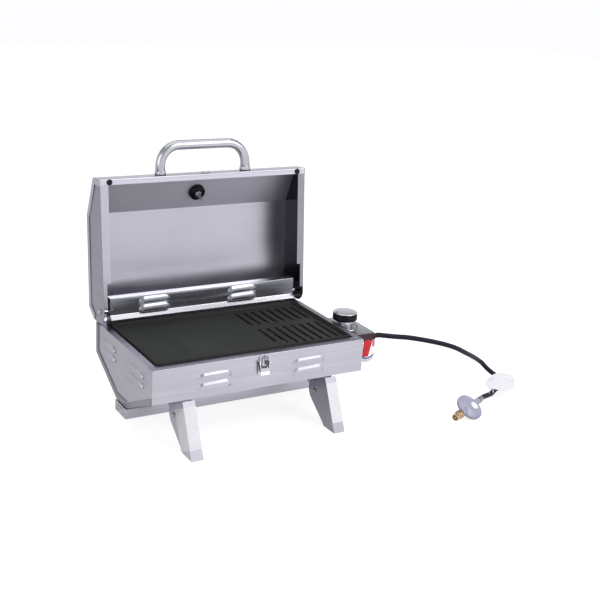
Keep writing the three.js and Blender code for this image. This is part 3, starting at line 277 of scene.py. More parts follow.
def steel(name, colour, roughness, stretch, grain=0.12, marks=0.3, bump=0.12, uneven=0.1,
          sides=(), dull=None):
    """Sheet steel with brushed lines along the axis where the stretch is small.

    Each of sides is an axis, its sign, and the colour and roughness of the faces that look that way: the
    side's colour is painted shade where it is darker than the steel, and painted light where it is lighter.
    Between the two levels of dull the steel is duller, and lighter by painted light."""
    tree, shader = start_material(name)
    brushed = use_group(tree, "Brushed Grain", Stretch=stretch)
    edge = use_group(tree, "Edge Highlight And Wear", Width=STEEL_EDGE)["Edge"]
    deep = shade(colour, 1 - grain)
    body = blend(tree, brushed["Lines"], deep, shade(colour, 1 + grain / 2))
    body = blend(tree, product(tree, brushed["Streaks"], STREAK_SHARE), body, deep)
    body = blend(tree, product(tree, brushed["Marks"], marks), body, shade(colour, MARK_LIGHT))
    # Painted highlight along the edges, which also stands for rubbed wear
    body = blend(tree, product(tree, edge, STEEL_EDGE_HIGHLIGHT_SHARE), body, shade(colour, EDGE_HIGHLIGHT_AND_WEAR))
    rough = spread(tree, brushed["Lines"], 0.0, 1.0, roughness - uneven * 0.4, roughness + uneven * 0.6)
    rough = math_node(tree, "ADD", rough, product(tree, brushed["Marks"], uneven))
    # Painted light: between the two levels the colour is made lighter, and the roughness there is also raised
    if dull:
        low, high = dull
        level = split(tree, place_on_object(tree))["Z"]
        share = product(tree, spread(tree, level, low - MM, low + MM),
                        spread(tree, level, high + MM, high - MM))
        body = blend(tree, share, body, shade(colour, DULL_PAINTED_LIGHT))
        rough = math_node(tree, "ADD", rough, product(tree, share, DULL_ROUGH))
    # Painted shade and light: faces that look along each side's axis take that side's colour, darker where
    # they miss the light and lighter where they catch it
    for axis, sign, other, smooth in sides:
        share = faces_along(tree, axis, sign)
        painted_side = blend(tree, brushed["Lines"], shade(other, 0.9), shade(other, 1.06))
        body = blend(tree, share, body, painted_side)
        rough = blend_value(tree, share, rough, smooth)
    shader.inputs["Metallic"].default_value = 1.0
    finish_material(tree, shader, body, rough, brushed["Lines"], bump)


def grained(name, colour, roughness, size, metallic=0.0, edge_highlight_and_wear=1.8, patch=0.25, bump=0.2, depth=CAST_DEPTH,
            shine=0.5):
    """Plastic, rubber, paint or cast metal with fine bumps, uneven patches, and edges lightened by a painted
    highlight that also stands for rubbed wear.
    """
    tree, shader = start_material(name)
    fine = use_group(tree, "Fine Grain", Size=size)
    edge = use_group(tree, "Edge Highlight And Wear", Width=CAST_EDGE)["Edge"]
    body = blend(tree, product(tree, fine["Patches"], patch), colour, shade(colour, PATCH_LIGHT))
    body = blend(tree, product(tree, fine["Grain"], GRAIN_SHARE), body, shade(colour, GRAIN_LIGHT))
    # Painted highlight along the edges, which also stands for rubbed wear
    body = blend(tree, product(tree, edge, CAST_EDGE_HIGHLIGHT_SHARE), body, shade(colour, edge_highlight_and_wear))
    rough = spread(tree, fine["Patches"], 0.0, 1.0, roughness + 0.06, roughness - 0.05)
    shader.inputs["Metallic"].default_value = metallic
    shader.inputs["Specular IOR Level"].default_value = shine
    finish_material(tree, shader, body, rough, fine["Grain"], bump, depth)


def heated(name, colour, burnt, roughness):
    """Steel that fire has turned straw and blue."""
    tree, shader = start_material(name)
    brushed = use_group(tree, "Brushed Grain", Stretch=(5, 300, 300), Mark_Size=16.0)
    fine = use_group(tree, "Fine Grain", Size=500.0, Patch_Size=9.0)
    body = blend(tree, brushed["Lines"], shade(colour, 0.85), colour)
    body = blend(tree, product(tree, fine["Patches"], 0.75), body, burnt)
    body = blend(tree, product(tree, brushed["Marks"], 0.5), body, tone(86, 92, 120))
    rough = spread(tree, fine["Patches"], 0.0, 1.0, roughness, roughness + 0.2)
    shader.inputs["Metallic"].default_value = 1.0
    finish_material(tree, shader, body, rough, fine["Grain"], 0.15)


def clear_lens(name):
    """Clear plastic with a breath of haze."""
    tree, shader = start_material(name)
    fine = use_group(tree, "Fine Grain", Size=60.0, Patch_Size=30.0)
    shader.inputs["Transmission Weight"].default_value = 1.0
    shader.inputs["IOR"].default_value = 1.45
    shader.inputs["Base Color"].default_value = (0.96, 0.98, 0.99, 1)
    tree.links.new(spread(tree, fine["Patches"], 0.0, 1.0, 0.01, 0.06), shader.inputs["Roughness"])


def paper(name, colour, roughness, wear):
    """A blank label or tag: slightly uneven, and soiled in patches."""
    tree, shader = start_material(name)
    fine = use_group(tree, "Fine Grain", Size=1400.0, Patch_Size=60.0)
    body = blend(tree, product(tree, fine["Patches"], wear), colour, shade(colour, 0.82))
    rough = spread(tree, fine["Grain"], 0.0, 1.0, roughness, roughness + 0.12)
    finish_material(tree, shader, body, rough, fine["Patches"], 0.2, 0.3 * MM)


def banded_collar(name, level, below, above):
    """A collar that is rubber up to a level and steel over it."""
    tree, shader = start_material(name)
    place = split(tree, place_on_object(tree))["Z"]
    fine = use_group(tree, "Fine Grain", Size=900.0)
    upper = spread(tree, place, level - 0.2 * MM, level + 0.2 * MM)
    brushed = blend(tree, fine["Grain"], shade(above, 0.92), above)
    rough = spread(tree, upper, 0.0, 1.0, 0.6, 0.24)
    tree.links.new(upper, shader.inputs["Metallic"])
    finish_material(tree, shader, blend(tree, upper, below, brushed), rough, fine["Grain"], 0.1)


def build_materials():
    finish = bpy.context.scene.grill_finish
    sheet = (*finish.steel_colour, 1.0)
    dull = finish.steel_roughness
    # A darker steel that stands for painted shade, on the guard and on the knob's round plate
    painted_shade_steel = tone(150, 151, 160)
    # The band of the lining's back that is painted lighter and made duller
    lining_painted_light_band = (spot(0, 0, 233.7).z, spot(0, 0, 323.6).z)
    collar_seam = lid_spot(0, -170.6, 112).z

    steel("steel along the width", sheet, dull, ALONG_WIDTH)
    steel("steel along the height", sheet, dull, ALONG_HEIGHT)
    steel("lid lining steel", shade(sheet, 0.96), dull, (3, 260, 260), grain=0.05, marks=0.2, bump=0.03,
          uneven=0.06, dull=lining_painted_light_band)
    # Painted shade: faces that look up, such as the louvre hoods' upper slopes, are painted darker
    steel("side panel steel with painted shade", sheet, dull, ALONG_DEPTH, sides=[("Z", 1, tone(138, 137, 148), 0.3)])
    # Painted shade: the inner faces are painted dark, and the outer faces a little darker than the sheet
    steel("left lid side steel with painted shade", sheet, dull, ALONG_DEPTH,
          sides=[("X", 1, tone(74, 73, 82), 0.2), ("X", -1, tone(166, 165, 180), 0.32)])
    # Painted shade: the whole side is darker than the sheet, its inner faces darkest
    steel("right lid side steel with painted shade", tone(158, 157, 166), dull, ALONG_DEPTH,
          sides=[("X", -1, tone(48, 47, 56), 0.2)])
    # Painted light: the hem is a lighter copy of the side panel's steel
    steel("hem steel with painted light", tone(226, 225, 235), dull, ALONG_DEPTH)
    # Painted shade: faces that look up, such as the louvre hoods' upper slopes, are painted darker
    steel("front panel steel with painted shade", sheet, dull, ALONG_WIDTH, sides=[("Z", 1, tone(140, 139, 150), 0.36)])
    # Painted shade: the ledges are a darker copy of the sheet steel
    steel("ledge steel with painted shade", tone(134, 133, 144), dull, ALONG_DEPTH)
    # Painted reflection: the box's front faces are painted dark and reddish
    steel("box steel with painted reflection", tone(172, 173, 179), 0.28, ALONG_DEPTH, sides=[("Y", -1, tone(72, 58, 62), 0.16)])
    # Painted shade: the trough is a darker copy of the sheet steel
    steel("trough steel with painted shade", tone(160, 159, 169), dull, ALONG_WIDTH)
    # Painted shade: the right leg is darker than the sheet, and darker still on its faces that look left
    steel("right leg steel with painted shade", tone(180, 179, 189), dull, ALONG_HEIGHT,
          sides=[("X", -1, tone(148, 147, 156), 0.24)])
    # Painted shade and highlight: the guard is darker, and its faces that look up are painted light
    steel("guard steel with painted shade and highlight", painted_shade_steel, 0.26, (5, 350, 350), grain=0.2, bump=0.05,
          sides=[("Z", 1, tone(236, 236, 242), 0.2)])
    # Painted shade: the knob's round plate is a darker steel
    steel("round plate steel with painted shade", painted_shade_steel, 0.2, (90, 90, 90), grain=0.08, marks=0.2, bump=0.03)
    # Painted shade: the latch's faces that look left are painted dark
    steel("latch steel with painted shade", tone(204, 205, 210), 0.26, (200, 200, 12), sides=[("X", -1, tone(70, 70, 76), 0.3)])
    steel("bail wire steel", tone(110, 110, 118), 0.24, (200, 200, 200), grain=0.08, bump=0.03)
    steel("polished cap", tone(214, 214, 222), 0.2, (300, 12, 300), grain=0.1, bump=0.05)
    steel("chrome plating", tone(200, 200, 208), 0.14, (60, 60, 60), grain=0.05, marks=0.15, bump=0.02)
    steel("handle steel", tone(190, 191, 198), 0.26, (6, 500, 500), grain=0.02, marks=0.1, bump=0.0,
          uneven=0.01)
    steel("galvanised steel", tone(178, 180, 188), 0.34, (40, 40, 40), grain=0.18, bump=0.1)
    steel("screw steel", tone(196, 197, 204), 0.22, (200, 200, 200), grain=0.12, bump=0.05)
    heated("burner steel", tone(150, 142, 134), tone(98, 74, 56), 0.4)
    heated("heat plate steel", tone(170, 162, 152), tone(118, 92, 66), 0.34)

    grained("cast iron", (*finish.plate_colour, 1.0), 0.6, 520.0, edge_highlight_and_wear=2.2, patch=0.35, bump=0.45,
            depth=2 * CAST_DEPTH, shine=0.12)
    grained("black plastic", tone(15, 14, 19), 0.44, 1500.0, edge_highlight_and_wear=2.4, bump=0.12, shine=0.15)
    grained("hose rubber", (*finish.hose_colour, 1.0), 0.46, 1100.0, edge_highlight_and_wear=1.6, bump=0.2, shine=0.15)
    grained("bumper rubber", tone(30, 29, 32), 0.62, 900.0, edge_highlight_and_wear=1.5, bump=0.3, shine=0.2)
    grained("cast zinc", tone(164, 165, 186), 0.36, 700.0, metallic=0.15, edge_highlight_and_wear=1.25, patch=0.2, bump=0.1,
            shine=0.35)
    grained("machined brass", tone(212, 178, 138), 0.26, 260.0, metallic=1.0, edge_highlight_and_wear=1.3, patch=0.5, bump=0.05)
    grained("blackened brass", tone(64, 48, 34), 0.4, 260.0, metallic=1.0, edge_highlight_and_wear=1.6, patch=0.5, bump=0.05)
    grained("glazed ceramic", tone(232, 226, 210), 0.24, 300.0, edge_highlight_and_wear=1.05, patch=0.2, bump=0.03)
    grained("dial enamel", tone(236, 234, 226), 0.4, 400.0, edge_highlight_and_wear=1.0, patch=0.08, bump=0.02)
    grained("red enamel", tone(178, 30, 24), 0.4, 400.0, edge_highlight_and_wear=1.2, bump=0.02)
    grained("dial ink", tone(26, 26, 28), 0.5, 400.0, edge_highlight_and_wear=1.0, bump=0.02)
    # Painted shade: a near black for grooves and holes, where there is only shade
    grained("painted shade black", tone(14, 14, 15), 0.8, 400.0, edge_highlight_and_wear=1.0, bump=0.05)
    banded_collar("seamed collar", collar_seam, tone(28, 27, 30), tone(196, 196, 204))
    clear_lens("dial lens")

    paper("label paper", tone(238, 238, 242), 0.42, 0.3)
    paper("red tag film", tone(228, 36, 42), 0.3, 0.4)
    paper("blue band", tone(58, 84, 158), 0.34, 0.3)
    paper("white nylon", tone(240, 240, 242), 0.36, 0.2)
    paper("tag paper", tone(238, 237, 243), 0.5, 0.6)
    paper("pink tag film", tone(222, 160, 184), 0.3, 0.5)


# Which finish each CAD node gets, by its name or else by its slot
NODE_FINISH = {
    "front_panel": "front panel steel with painted shade",
    "trough_sheet": "trough steel with painted shade",
    "side_panel_left": "side panel steel with painted shade",
    "side_panel_right": "side panel steel with painted shade",
    "ledge_left": "ledge steel with painted shade",
    "ledge_right": "ledge steel with painted shade",
    "control_box": "box steel with painted reflection",
    "knob_bezel": "round plate steel with painted shade",
    "inlet_pipe": "blackened brass",
    "latch_base": "latch steel with painted shade",
    "latch_lever": "latch steel with painted shade",
    "latch_bail": "bail wire steel",
    "grease_tray": "steel along the width",
    "leg_front_right": "right leg steel with painted shade",
    "lid_side_left": "left lid side steel with painted shade",
    "lid_side_right": "right lid side steel with painted shade",
    "lid_sheet": "lid lining steel",
    "heat_plate_front": "heat plate steel",
    "heat_plate_rear": "heat plate steel",
    "burner_tube": "burner steel",
    "lid_handle": "handle steel",
    "knob_cap": "polished cap",
    "regulator_body": "cast zinc",
    "regulator_cover": "cast zinc",
    "handle_collar_left": "seamed collar",
    "handle_collar_right": "seamed collar",
    "bumper_left": "bumper rubber",
    "bumper_right": "bumper rubber",
}
SLOT_FINISH = {
    "stainless": "steel along the height",
    "polished_steel": "guard steel with painted shade and highlight",
    "chrome": "chrome plating",
    "zinc": "galvanised steel",
    "brass": "machined brass",
    "cast_iron": "cast iron",
    "black_plastic": "black plastic",
    "dial_white": "dial enamel",
    "needle_red": "red enamel",
    "lens": "dial lens",
    "rubber": "hose rubber",
    "ceramic": "glazed ceramic",
}


# Pieces

WELD = 0.001 * MM
NODE_WELD = 2 * WELD
SPIN_WELD = 0.1 * WELD
SHARP = 35.0
NODE_SHARP = 40.0
PAPER_SHARP = 60.0


def add_object(name, data):
    piece = bpy.data.objects.new(name, data)
    bpy.context.scene.collection.objects.link(piece)
    return piece


def dress_mesh(name, mesh, material, body, sharp):
    """Makes an object of a mesh, smooth up to the sharp angle, that rides on a body."""
    mesh.shade_smooth()
    mesh.set_sharp_from_angle(angle=math.radians(sharp))
    mesh.materials.clear()
    mesh.materials.append(bpy.data.materials[material])
    piece = add_object(name, mesh)
    weigh = piece.modifiers.new("Even shading", "WEIGHTED_NORMAL")
    weigh.keep_sharp = True
    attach(piece, body)
    return piece


def make_piece(name, work, material, body="base", sharp=SHARP, thick=0.0):
    """Turns a bmesh into a piece that rides on a body, with the place in its mesh."""
    bmesh.ops.remove_doubles(work, verts=work.verts, dist=WELD)
    bmesh.ops.recalc_face_normals(work, faces=work.faces)
    if thick:
        bmesh.ops.solidify(work, geom=work.faces[:], thickness=thick * MM)
        bmesh.ops.recalc_face_normals(work, faces=work.faces)
    mesh = bpy.data.meshes.new(name)
    work.to_mesh(mesh)
    work.free()
    return dress_mesh(name, mesh, material, body, sharp)


def smooth_node(name):
    """A merged and smoothed copy of a CAD node, in its own finish."""
    node = frame["nodes"][name]
    slot = SLOTS[name]
    mesh = node.data.copy()
    work = bmesh.new()
    work.from_mesh(mesh)
    bmesh.ops.remove_doubles(work, verts=work.verts, dist=NODE_WELD)
    work.to_mesh(mesh)
    work.free()
    material = NODE_FINISH.get(name, SLOT_FINISH[slot])
    piece = dress_mesh("fine_" + name, mesh, material, node["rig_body"], NODE_SHARP)
    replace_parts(piece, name)
    return piece


def spin_round(work, geom, stand, steps):
    """Spins a profile right round the Z of its stand."""
    bmesh.ops.spin(work, geom=geom, cent=stand.translation, axis=stand.to_3x3() @ UP,
                   angle=math.tau, steps=steps, use_merge=True)
    bmesh.ops.remove_doubles(work, verts=work.verts, dist=SPIN_WELD)


def turned_round(work, profile, centre, way, steps=20):
    """Adds a turned shape: (radius, height) pairs from the foot to the tip, spun about way."""
    stand = standing(centre, way)
    corners = [work.verts.new(stand @ Vector((radius * MM, 0, height * MM))) for radius, height in profile]
    edges = [work.edges.new(pair) for pair in zip(corners, corners[1:])]
    spin_round(work, corners + edges, stand, steps)


def turned_piece(name, material, profile, centre, way, steps=20, body="base"):
    work = bmesh.new()
    turned_round(work, profile, centre, way, steps)
    return make_piece(name, work, material, body)


def ring_piece(name, material, centre, way, radius, thick, steps=24, sides=10):
    """A round ring about way."""
    work = bmesh.new()
    stand = standing(centre, way)
    section = stand @ Matrix.Translation((radius * MM, 0, 0)) @ Matrix.Rotation(math.pi / 2, 4, "X")
    corners = bmesh.ops.create_circle(work, segments=sides, radius=thick * MM, matrix=section)["verts"]
    edges = list({edge for corner in corners for edge in corner.link_edges})
    spin_round(work, corners + edges, stand, steps)
    return make_piece(name, work, material)


def add_rivet(work, centre, way, radius, height=1.1):
    """A low domed head."""
    turned_round(work, [(0, -0.2), (radius, -0.2), (radius, 0.1), (radius * 0.86, height * 0.55),
                        (radius * 0.5, height * 0.9), (0, height)], centre, way, steps=14)


def add_screw(work, centre, way, radius, height):
    """A pan head with a sunken cross."""
    stand = standing(centre, way)
    arm, side, deep = radius * 0.52, radius * 0.13, height * 0.55
    cross = [(side, side), (side, arm), (-side, arm), (-side, side), (-arm, side), (-arm, -side),
             (-side, -side), (-side, -arm), (side, -arm), (side, -side), (arm, -side), (arm, side)]
    circle = [(math.cos(step * math.tau / 24), math.sin(step * math.tau / 24)) for step in range(24)]
    head = ((radius * 0.74, height), (radius * 0.94, height * 0.6), (radius, height * 0.25), (radius, -0.2))

    def loop(points, level):
        corners = [work.verts.new(stand @ Vector((x * MM, y * MM, level * MM))) for x, y in points]
        return [work.edges.new((a, b)) for a, b in zip(corners, corners[1:] + corners[:1])]

    rings = [loop(cross, height - deep), loop(cross, height)]
    rings += [loop([(x * size, y * size) for x, y in circle], level) for size, level in head]
    for inner, outer in zip(rings, rings[1:]):
        bmesh.ops.bridge_loops(work, edges=inner + outer)
    bmesh.ops.contextual_create(work, geom=rings[0])
    bmesh.ops.contextual_create(work, geom=rings[-1])


def drawn_strip(work, path, ways):
    """A strip: the path's points, drawn out by each of the ways in turn."""
    corners = [work.verts.new(point) for point in path]
    edges = [work.edges.new(pair) for pair in zip(corners, corners[1:])]
    for way in ways:
        grown = bmesh.ops.extrude_edge_only(work, edges=edges)["geom"]
        fresh = {item for item in grown if isinstance(item, bmesh.types.BMVert)}
        edges = [item for item in grown if isinstance(item, bmesh.types.BMEdge) and set(item.verts) <= fresh]
        bmesh.ops.translate(work, verts=list(fresh), vec=way)


def sheet_between(work, first, second, cuts=1):
    """A sheet between two rows of points, with cuts across it."""
    rows = []
    for row in (first, second):
        corners = [work.verts.new(point) for point in row]
        rows += [work.edges.new(pair) for pair in zip(corners, corners[1:])]
    bmesh.ops.bridge_loops(work, edges=rows)
    across = [edge for edge in work.edges if edge not in rows]
    bmesh.ops.subdivide_edges(work, edges=across, cuts=cuts, use_grid_fill=True)


def add_figure(work, text, size, place):
    """Flat figures of a dial, cut from the built-in typeface."""
    letters = bpy.data.curves.new("figure", "FONT")
    letters.body = text
    letters.size = size * MM
    letters.align_x = letters.align_y = "CENTER"
    letters.resolution_u = 3
    holder = bpy.data.objects.new("figure", letters)
    mesh = bpy.data.meshes.new_from_object(holder)
    mesh.transform(place)
    work.from_mesh(mesh)
    bpy.data.objects.remove(holder)
    bpy.data.curves.remove(letters)
    bpy.data.meshes.remove(mesh)


# The gas line: the same points as the part's source, in metres from the middle of the rim
REGULATOR_MIDDLE = Vector((0.505, -0.254, -0.1718))
REGULATOR_PORT = Vector((0.918, 0.39, 0.07)).normalized()
REGULATOR_UP = Vector((0.17, -0.547, 0.82))
REGULATOR_FACE = (REGULATOR_UP - REGULATOR_PORT * REGULATOR_UP.dot(REGULATOR_PORT)).normalized()
REGULATOR = RIM + REGULATOR_MIDDLE
TANK_NUT_FOOT = REGULATOR - REGULATOR_PORT * 0.0403
HOSE_START = Vector((0.3406, -0.08, -0.031))
HOSE_ROUTE = [
    (0.3772, -0.0834, -0.0354), (0.4011, -0.0890, -0.0389), (0.4247, -0.0964, -0.0412),
    (0.4476, -0.1051, -0.0447), (0.4705, -0.1138, -0.0490), (0.4936, -0.1212, -0.0543),
    (0.5169, -0.1260, -0.0611), (0.5402, -0.1274, -0.0697), (0.5625, -0.1251, -0.0801),
    (0.5837, -0.1193, -0.0917), (0.6041, -0.1109, -0.1031), (0.6241, -0.1010, -0.1139),
    (0.6438, -0.0910, -0.1253), (0.6638, -0.0828, -0.1374), (0.6839, -0.0786, -0.1512),
    (0.7013, -0.0817, -0.1684), (0.7159, -0.0952, -0.1814), (0.7264, -0.1164, -0.1866),
    (0.7274, -0.1407, -0.1865), (0.7172, -0.1625, -0.1831), (0.6983, -0.1771, -0.1776),
    (0.6755, -0.1846, -0.1724), (0.6517, -0.1901, -0.1690), (0.6288, -0.1992, -0.1682),
    (0.6069, -0.2116, -0.1699), (0.5839, -0.2213, -0.1681),
]
HOSE_END = REGULATOR_MIDDLE + REGULATOR_PORT * 0.0606
HOSE_STRAIGHT = 0.012
HOSE_STEPS = 8


def centripetal(points, steps):
    """Points on the same smooth line as the CAD hose follows."""
    points = [Vector(point) for point in points]
    ends = [points[0] * 2 - points[1], *points, points[-1] * 2 - points[-2]]
    line = []
    for before, start, end, after in zip(ends, ends[1:], ends[2:], ends[3:]):
        pairs = ((before, start), (start, end), (end, after))
        first, middle, last = (math.sqrt((b - a).length) for a, b in pairs)
        leave = (start - before) / first - (end - before) / (first + middle) + (end - start) / middle
        reach = (end - start) / middle - (after - start) / (middle + last) + (after - end) / last
        leave, reach = leave * middle, reach * middle
        for step in range(steps):
            t = step / steps
            line.append((2 * t**3 - 3 * t**2 + 1) * start + (t**3 - 2 * t**2 + t) * leave
                        + (3 * t**2 - 2 * t**3) * end + (t**3 - t**2) * reach)
    return line + [points[-1]]


def lay_hose():
    joints = [HOSE_START + RIGHT * HOSE_STRAIGHT, *map(Vector, HOSE_ROUTE),
              HOSE_END + REGULATOR_PORT * HOSE_STRAIGHT]
    line = [RIM + point for point in (HOSE_START, *centripetal(joints, HOSE_STEPS), HOSE_END)]
    curve = bpy.data.curves.new("gas_hose", "CURVE")
    curve.dimensions = "3D"
    curve.bevel_depth = bpy.context.scene.grill_finish.hose_diameter / 2
    curve.bevel_resolution = 6
    curve.use_fill_caps = True
    spline = curve.splines.new("POLY")
    spline.points.add(len(line) - 1)
    for point, place in zip(spline.points, line):
        point.co = (*place, 1.0)
    spline.use_smooth = True
    hose = add_object("gas_hose", curve)
    curve.materials.append(bpy.data.materials["hose rubber"])
    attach(hose, "base")
    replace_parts(hose, "hose")
    return hose


# Operators

CAMERA_PLACE = Vector((-1.06, -2.0342, 0.8322))


class GRILL_OT_camera(bpy.types.Operator):
    """Stand the camera where the photograph was taken from"""

    bl_idname = "grill.camera"
    bl_label = "Camera"

    def execute(self, context):
        studio = context.scene.grill_studio
        lens = bpy.data.cameras.new("studio_camera")
        lens.sensor_width = 36.0
        lens.lens = studio.lens
        camera = add_object("studio_camera", lens)
        camera.matrix_world = (Matrix.Translation(RIM + CAMERA_PLACE) @ Matrix.Rotation(studio.azimuth, 4, "Z")
                               @ Matrix.Rotation(math.pi / 2 - studio.elevation, 4, "X")
                               @ Matrix.Rotation(studio.roll, 4, "Z"))
        context.scene.camera = camera
        return {"FINISHED"}


class GRILL_OT_gas_line(bpy.types.Operator):
    """Lay the gas hose and fit its regulator, cover, ferrule and tank nut"""

    bl_idname = "grill.gas_line"
    bl_label = "Gas Line"

    def execute(self, context):
        hose = lay_hose()
        fittings = [smooth_node(name) for name in
                    ("hose_ferrule", "regulator_body", "regulator_cover", "tank_fitting")]
        fittings += [self.make_hose_tag(), *self.make_hose_rings(), self.make_sticker(),
                     self.make_nut_bands(), self.make_nut_mouth(), self.make_necks(), self.make_rim()]
        return {"FINISHED"}

    @staticmethod
    def make_hose_tag():
        """The crumpled paper tag that lies on the hose"""
        upper = [(621, -168, -163), (650, -144, -165.5), (677, -126, -167.2), (704, -117.2, -168.5),
                 (720.4, -129, -168.1), (731.7, -148.2, -167)]
        lower = [(606.7, -205.3, -159.8), (619.7, -226, -158.7), (638, -225, -159.8), (655, -222.5, -161.3),
                 (677, -213.5, -163.3), (703, -184, -164.5)]
        ripple = 0.9 * MM
        work = bmesh.new()
        sheet_between(work, [spot(*point) for point in upper], [spot(*point) for point in lower], 5)
        for corner in work.verts:
            place = corner.co - RIM
            corner.co.z += ripple * math.sin(place.x * 95) * math.sin(place.y * 80 + 1)
        return make_piece("hose_tag", work, "tag paper", sharp=PAPER_SHARP, thick=0.7)

    @staticmethod
    def make_hose_rings():
        """The ring that holds the tag, and the tie round the hose"""
        tag_ring = ring_piece("tag_ring", "white nylon", centre=spot(613.5, -208.5, -169.3),
                              way=(0.8, -0.52, 0.06), radius=8.6, thick=1.2)
        hose_tie = ring_piece("hose_tie", "white nylon", centre=spot(594, -217.4, -169),
                              way=(0.87, -0.45, -0.02), radius=6.35, thick=0.65)
        return tag_ring, hose_tie

    @staticmethod
    def make_sticker():
        """The blank round sticker on the cover's flat top"""
        radius, thick = 9.5, 0.25
        across = REGULATOR_FACE.cross(REGULATOR_PORT)
        middle = REGULATOR + REGULATOR_PORT * 0.0083 - across * 0.0048 + REGULATOR_FACE * 0.0094
        profile = [(0, 0), (radius - 0.1, 0), (radius, 0.1), (radius - 0.1, thick), (0, thick)]
        return turned_piece("regulator_sticker", "label paper", profile, middle,
                            REGULATOR_FACE, steps=40)

    @staticmethod
    def make_nut_bands():
        """Dark rings of painted shade for the turned grooves round the tank nut, and a dark disc of painted
        shade for its bore
        """
        work = bmesh.new()
        for low, high, inner, outer in ((1.6, 2.6, 9.9, 10.15), (9.2, 10.2, 9.9, 10.15), (26, 26.3, 3, 5.4)):
            band = [(inner, low), (outer, low), (outer, high), (inner, high), (inner, low)]
            turned_round(work, band, TANK_NUT_FOOT, -REGULATOR_PORT)
        return make_piece("tank_nut_bands", work, "painted shade black")

    @staticmethod
    def make_nut_mouth():
        """The collar round the nut's mouth"""
        collar = [(6.3, 18.6), (8.4, 19.0), (8.9, 19.6), (8.9, 24.6), (8.3, 25.4), (6.3, 25.6), (6.3, 18.6)]
        return turned_piece("tank_nut_mouth", "machined brass", collar, TANK_NUT_FOOT,
                            -REGULATOR_PORT, steps=28)

    @staticmethod
    def make_necks():
        """The cast necks that run from the two ports into the cover"""
        inside, root, shoulder = 12, 7.9, 26
        work = bmesh.new()
        for way, reach in ((-REGULATOR_PORT, 37), (REGULATOR_PORT, 41)):
            neck = [(0, inside), (root, inside), (root, shoulder), (7.35, reach - 1), (7.1, reach), (0, reach)]
            turned_round(work, neck, REGULATOR, way, steps=28)
        return make_piece("regulator_necks", work, "cast zinc")

    @staticmethod
    def make_rim():
        """The rolled bead that clamps the cover on the regulator"""
        middle = REGULATOR + REGULATOR_FACE * 0.0018
        return ring_piece("regulator_rim", "cast zinc", middle, REGULATOR_FACE, radius=31.6, thick=1.7,
                          steps=56, sides=12)


class GRILL_OT_sheet_metal(bpy.types.Operator):
    """Smooth and finish every other CAD node"""

    bl_idname = "grill.sheet_metal"
    bl_label = "Metalwork"

    def execute(self, context):
        done = {name for piece in bpy.data.objects for name in piece.get("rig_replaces", [])}
        for name in sorted(set(frame["nodes"]) - done):
            smooth_node(name)
        return {"FINISHED"}


class GRILL_OT_leg_labels(bpy.types.Operator):
    """Stick the blank paper labels on the two front legs"""

    bl_idname = "grill.leg_labels"
    bl_label = "Leg Labels"

    def execute(self, context):
        down = Vector((0, -0.4198, -0.9076))
        out = Vector((0, -0.9076, 0.4198))
        top = Vector((0, -165.8, -91))
        leg_side, leg_edge, lift, corner = 187, 186.6, 0.15, 0.6
        run = [down * 0.0223] * 4
        wrap = context.scene.grill_finish.label_wrap / MM
        round_the_side = [(-leg_side - lift, -wrap), (-leg_side - lift, -corner)]
        left = round_the_side + [(x, lift) for x in (-leg_edge, -173, -159.9)]
        right = [(x, lift) for x in (159.9, 168.5, 177.5, leg_edge)]
        for side, path in (("left", left), ("right", right)):
            work = bmesh.new()
            drawn_strip(work, [spot(*(top + RIGHT * x + out * rise)) for x, rise in path], run)
            make_piece("leg_label_" + side, work, "label paper", "leg_front_" + side, thick=0.12)
        return {"FINISHED"}


class GRILL_OT_box_tag(bpy.types.Operator):
    """Hang the blank red tag and its band from the control box"""

    bl_idname = "grill.box_tag"
    bl_label = "Box Tag"

    def execute(self, context):
        self.make_tag()
        self.make_band()
        self.make_flap()
        return {"FINISHED"}

    @staticmethod
    def make_tag():
        """The tag narrows and bows forwards as it hangs"""
        left, front, top = 306, -87.4, -26
        width, narrowing, length = 24.5, 6, 52
        work = bmesh.new()
        bmesh.ops.create_grid(work, x_segments=8, y_segments=14, size=0.5)
        for corner in work.verts:
            along, down = corner.co.x + 0.5, 0.5 - corner.co.y
            wide = width - narrowing * down ** 1.4
            bow = 2.2 * math.sin(along * math.pi) * down + 1.5 * math.sin(down * 5)
            corner.co = spot(left + along * wide, front - bow, top - length * down)
        make_piece("red_tag", work, "red tag film", sharp=PAPER_SHARP, thick=0.25)

    @staticmethod
    def make_band():
        """The curled band under the tag, and its coloured edge"""
        curl = [(303, -78.5), (307, -81.5), (313, -83), (320, -83), (327, -81), (333, -78), (337, -74.5)]
        bands = (("tag_band", "label paper", "dial_white", -7.5, 1.0, 0.0),
                 ("tag_band_edge", "blue band", "rubber", 1.0, 5.0, 0.1))
        for name, material, slot, low, high, lift in bands:
            work = bmesh.new()
            path = [spot(x, -89.6 - lift - 1.5 * math.sin((x - 300) / 10), z + low) for x, z in curl]
            drawn_strip(work, path, [UP * ((high - low) * MM / 3)] * 3)
            make_piece(name, work, material, sharp=PAPER_SHARP, thick=0.2)

    @staticmethod
    def make_flap():
        """The pale strip beside the tag"""
        top = -35.5
        across = ((330, -88.2), (332.4, -89.8), (334.8, -90.2), (337, -89.4), (338.4, -87.6))
        work = bmesh.new()
        drawn_strip(work, [spot(x, y, top) for x, y in across], [Vector((0.0002, 0, -0.0062))] * 3)
        make_piece("red_tag_flap", work, "pink tag film", sharp=PAPER_SHARP, thick=0.2)


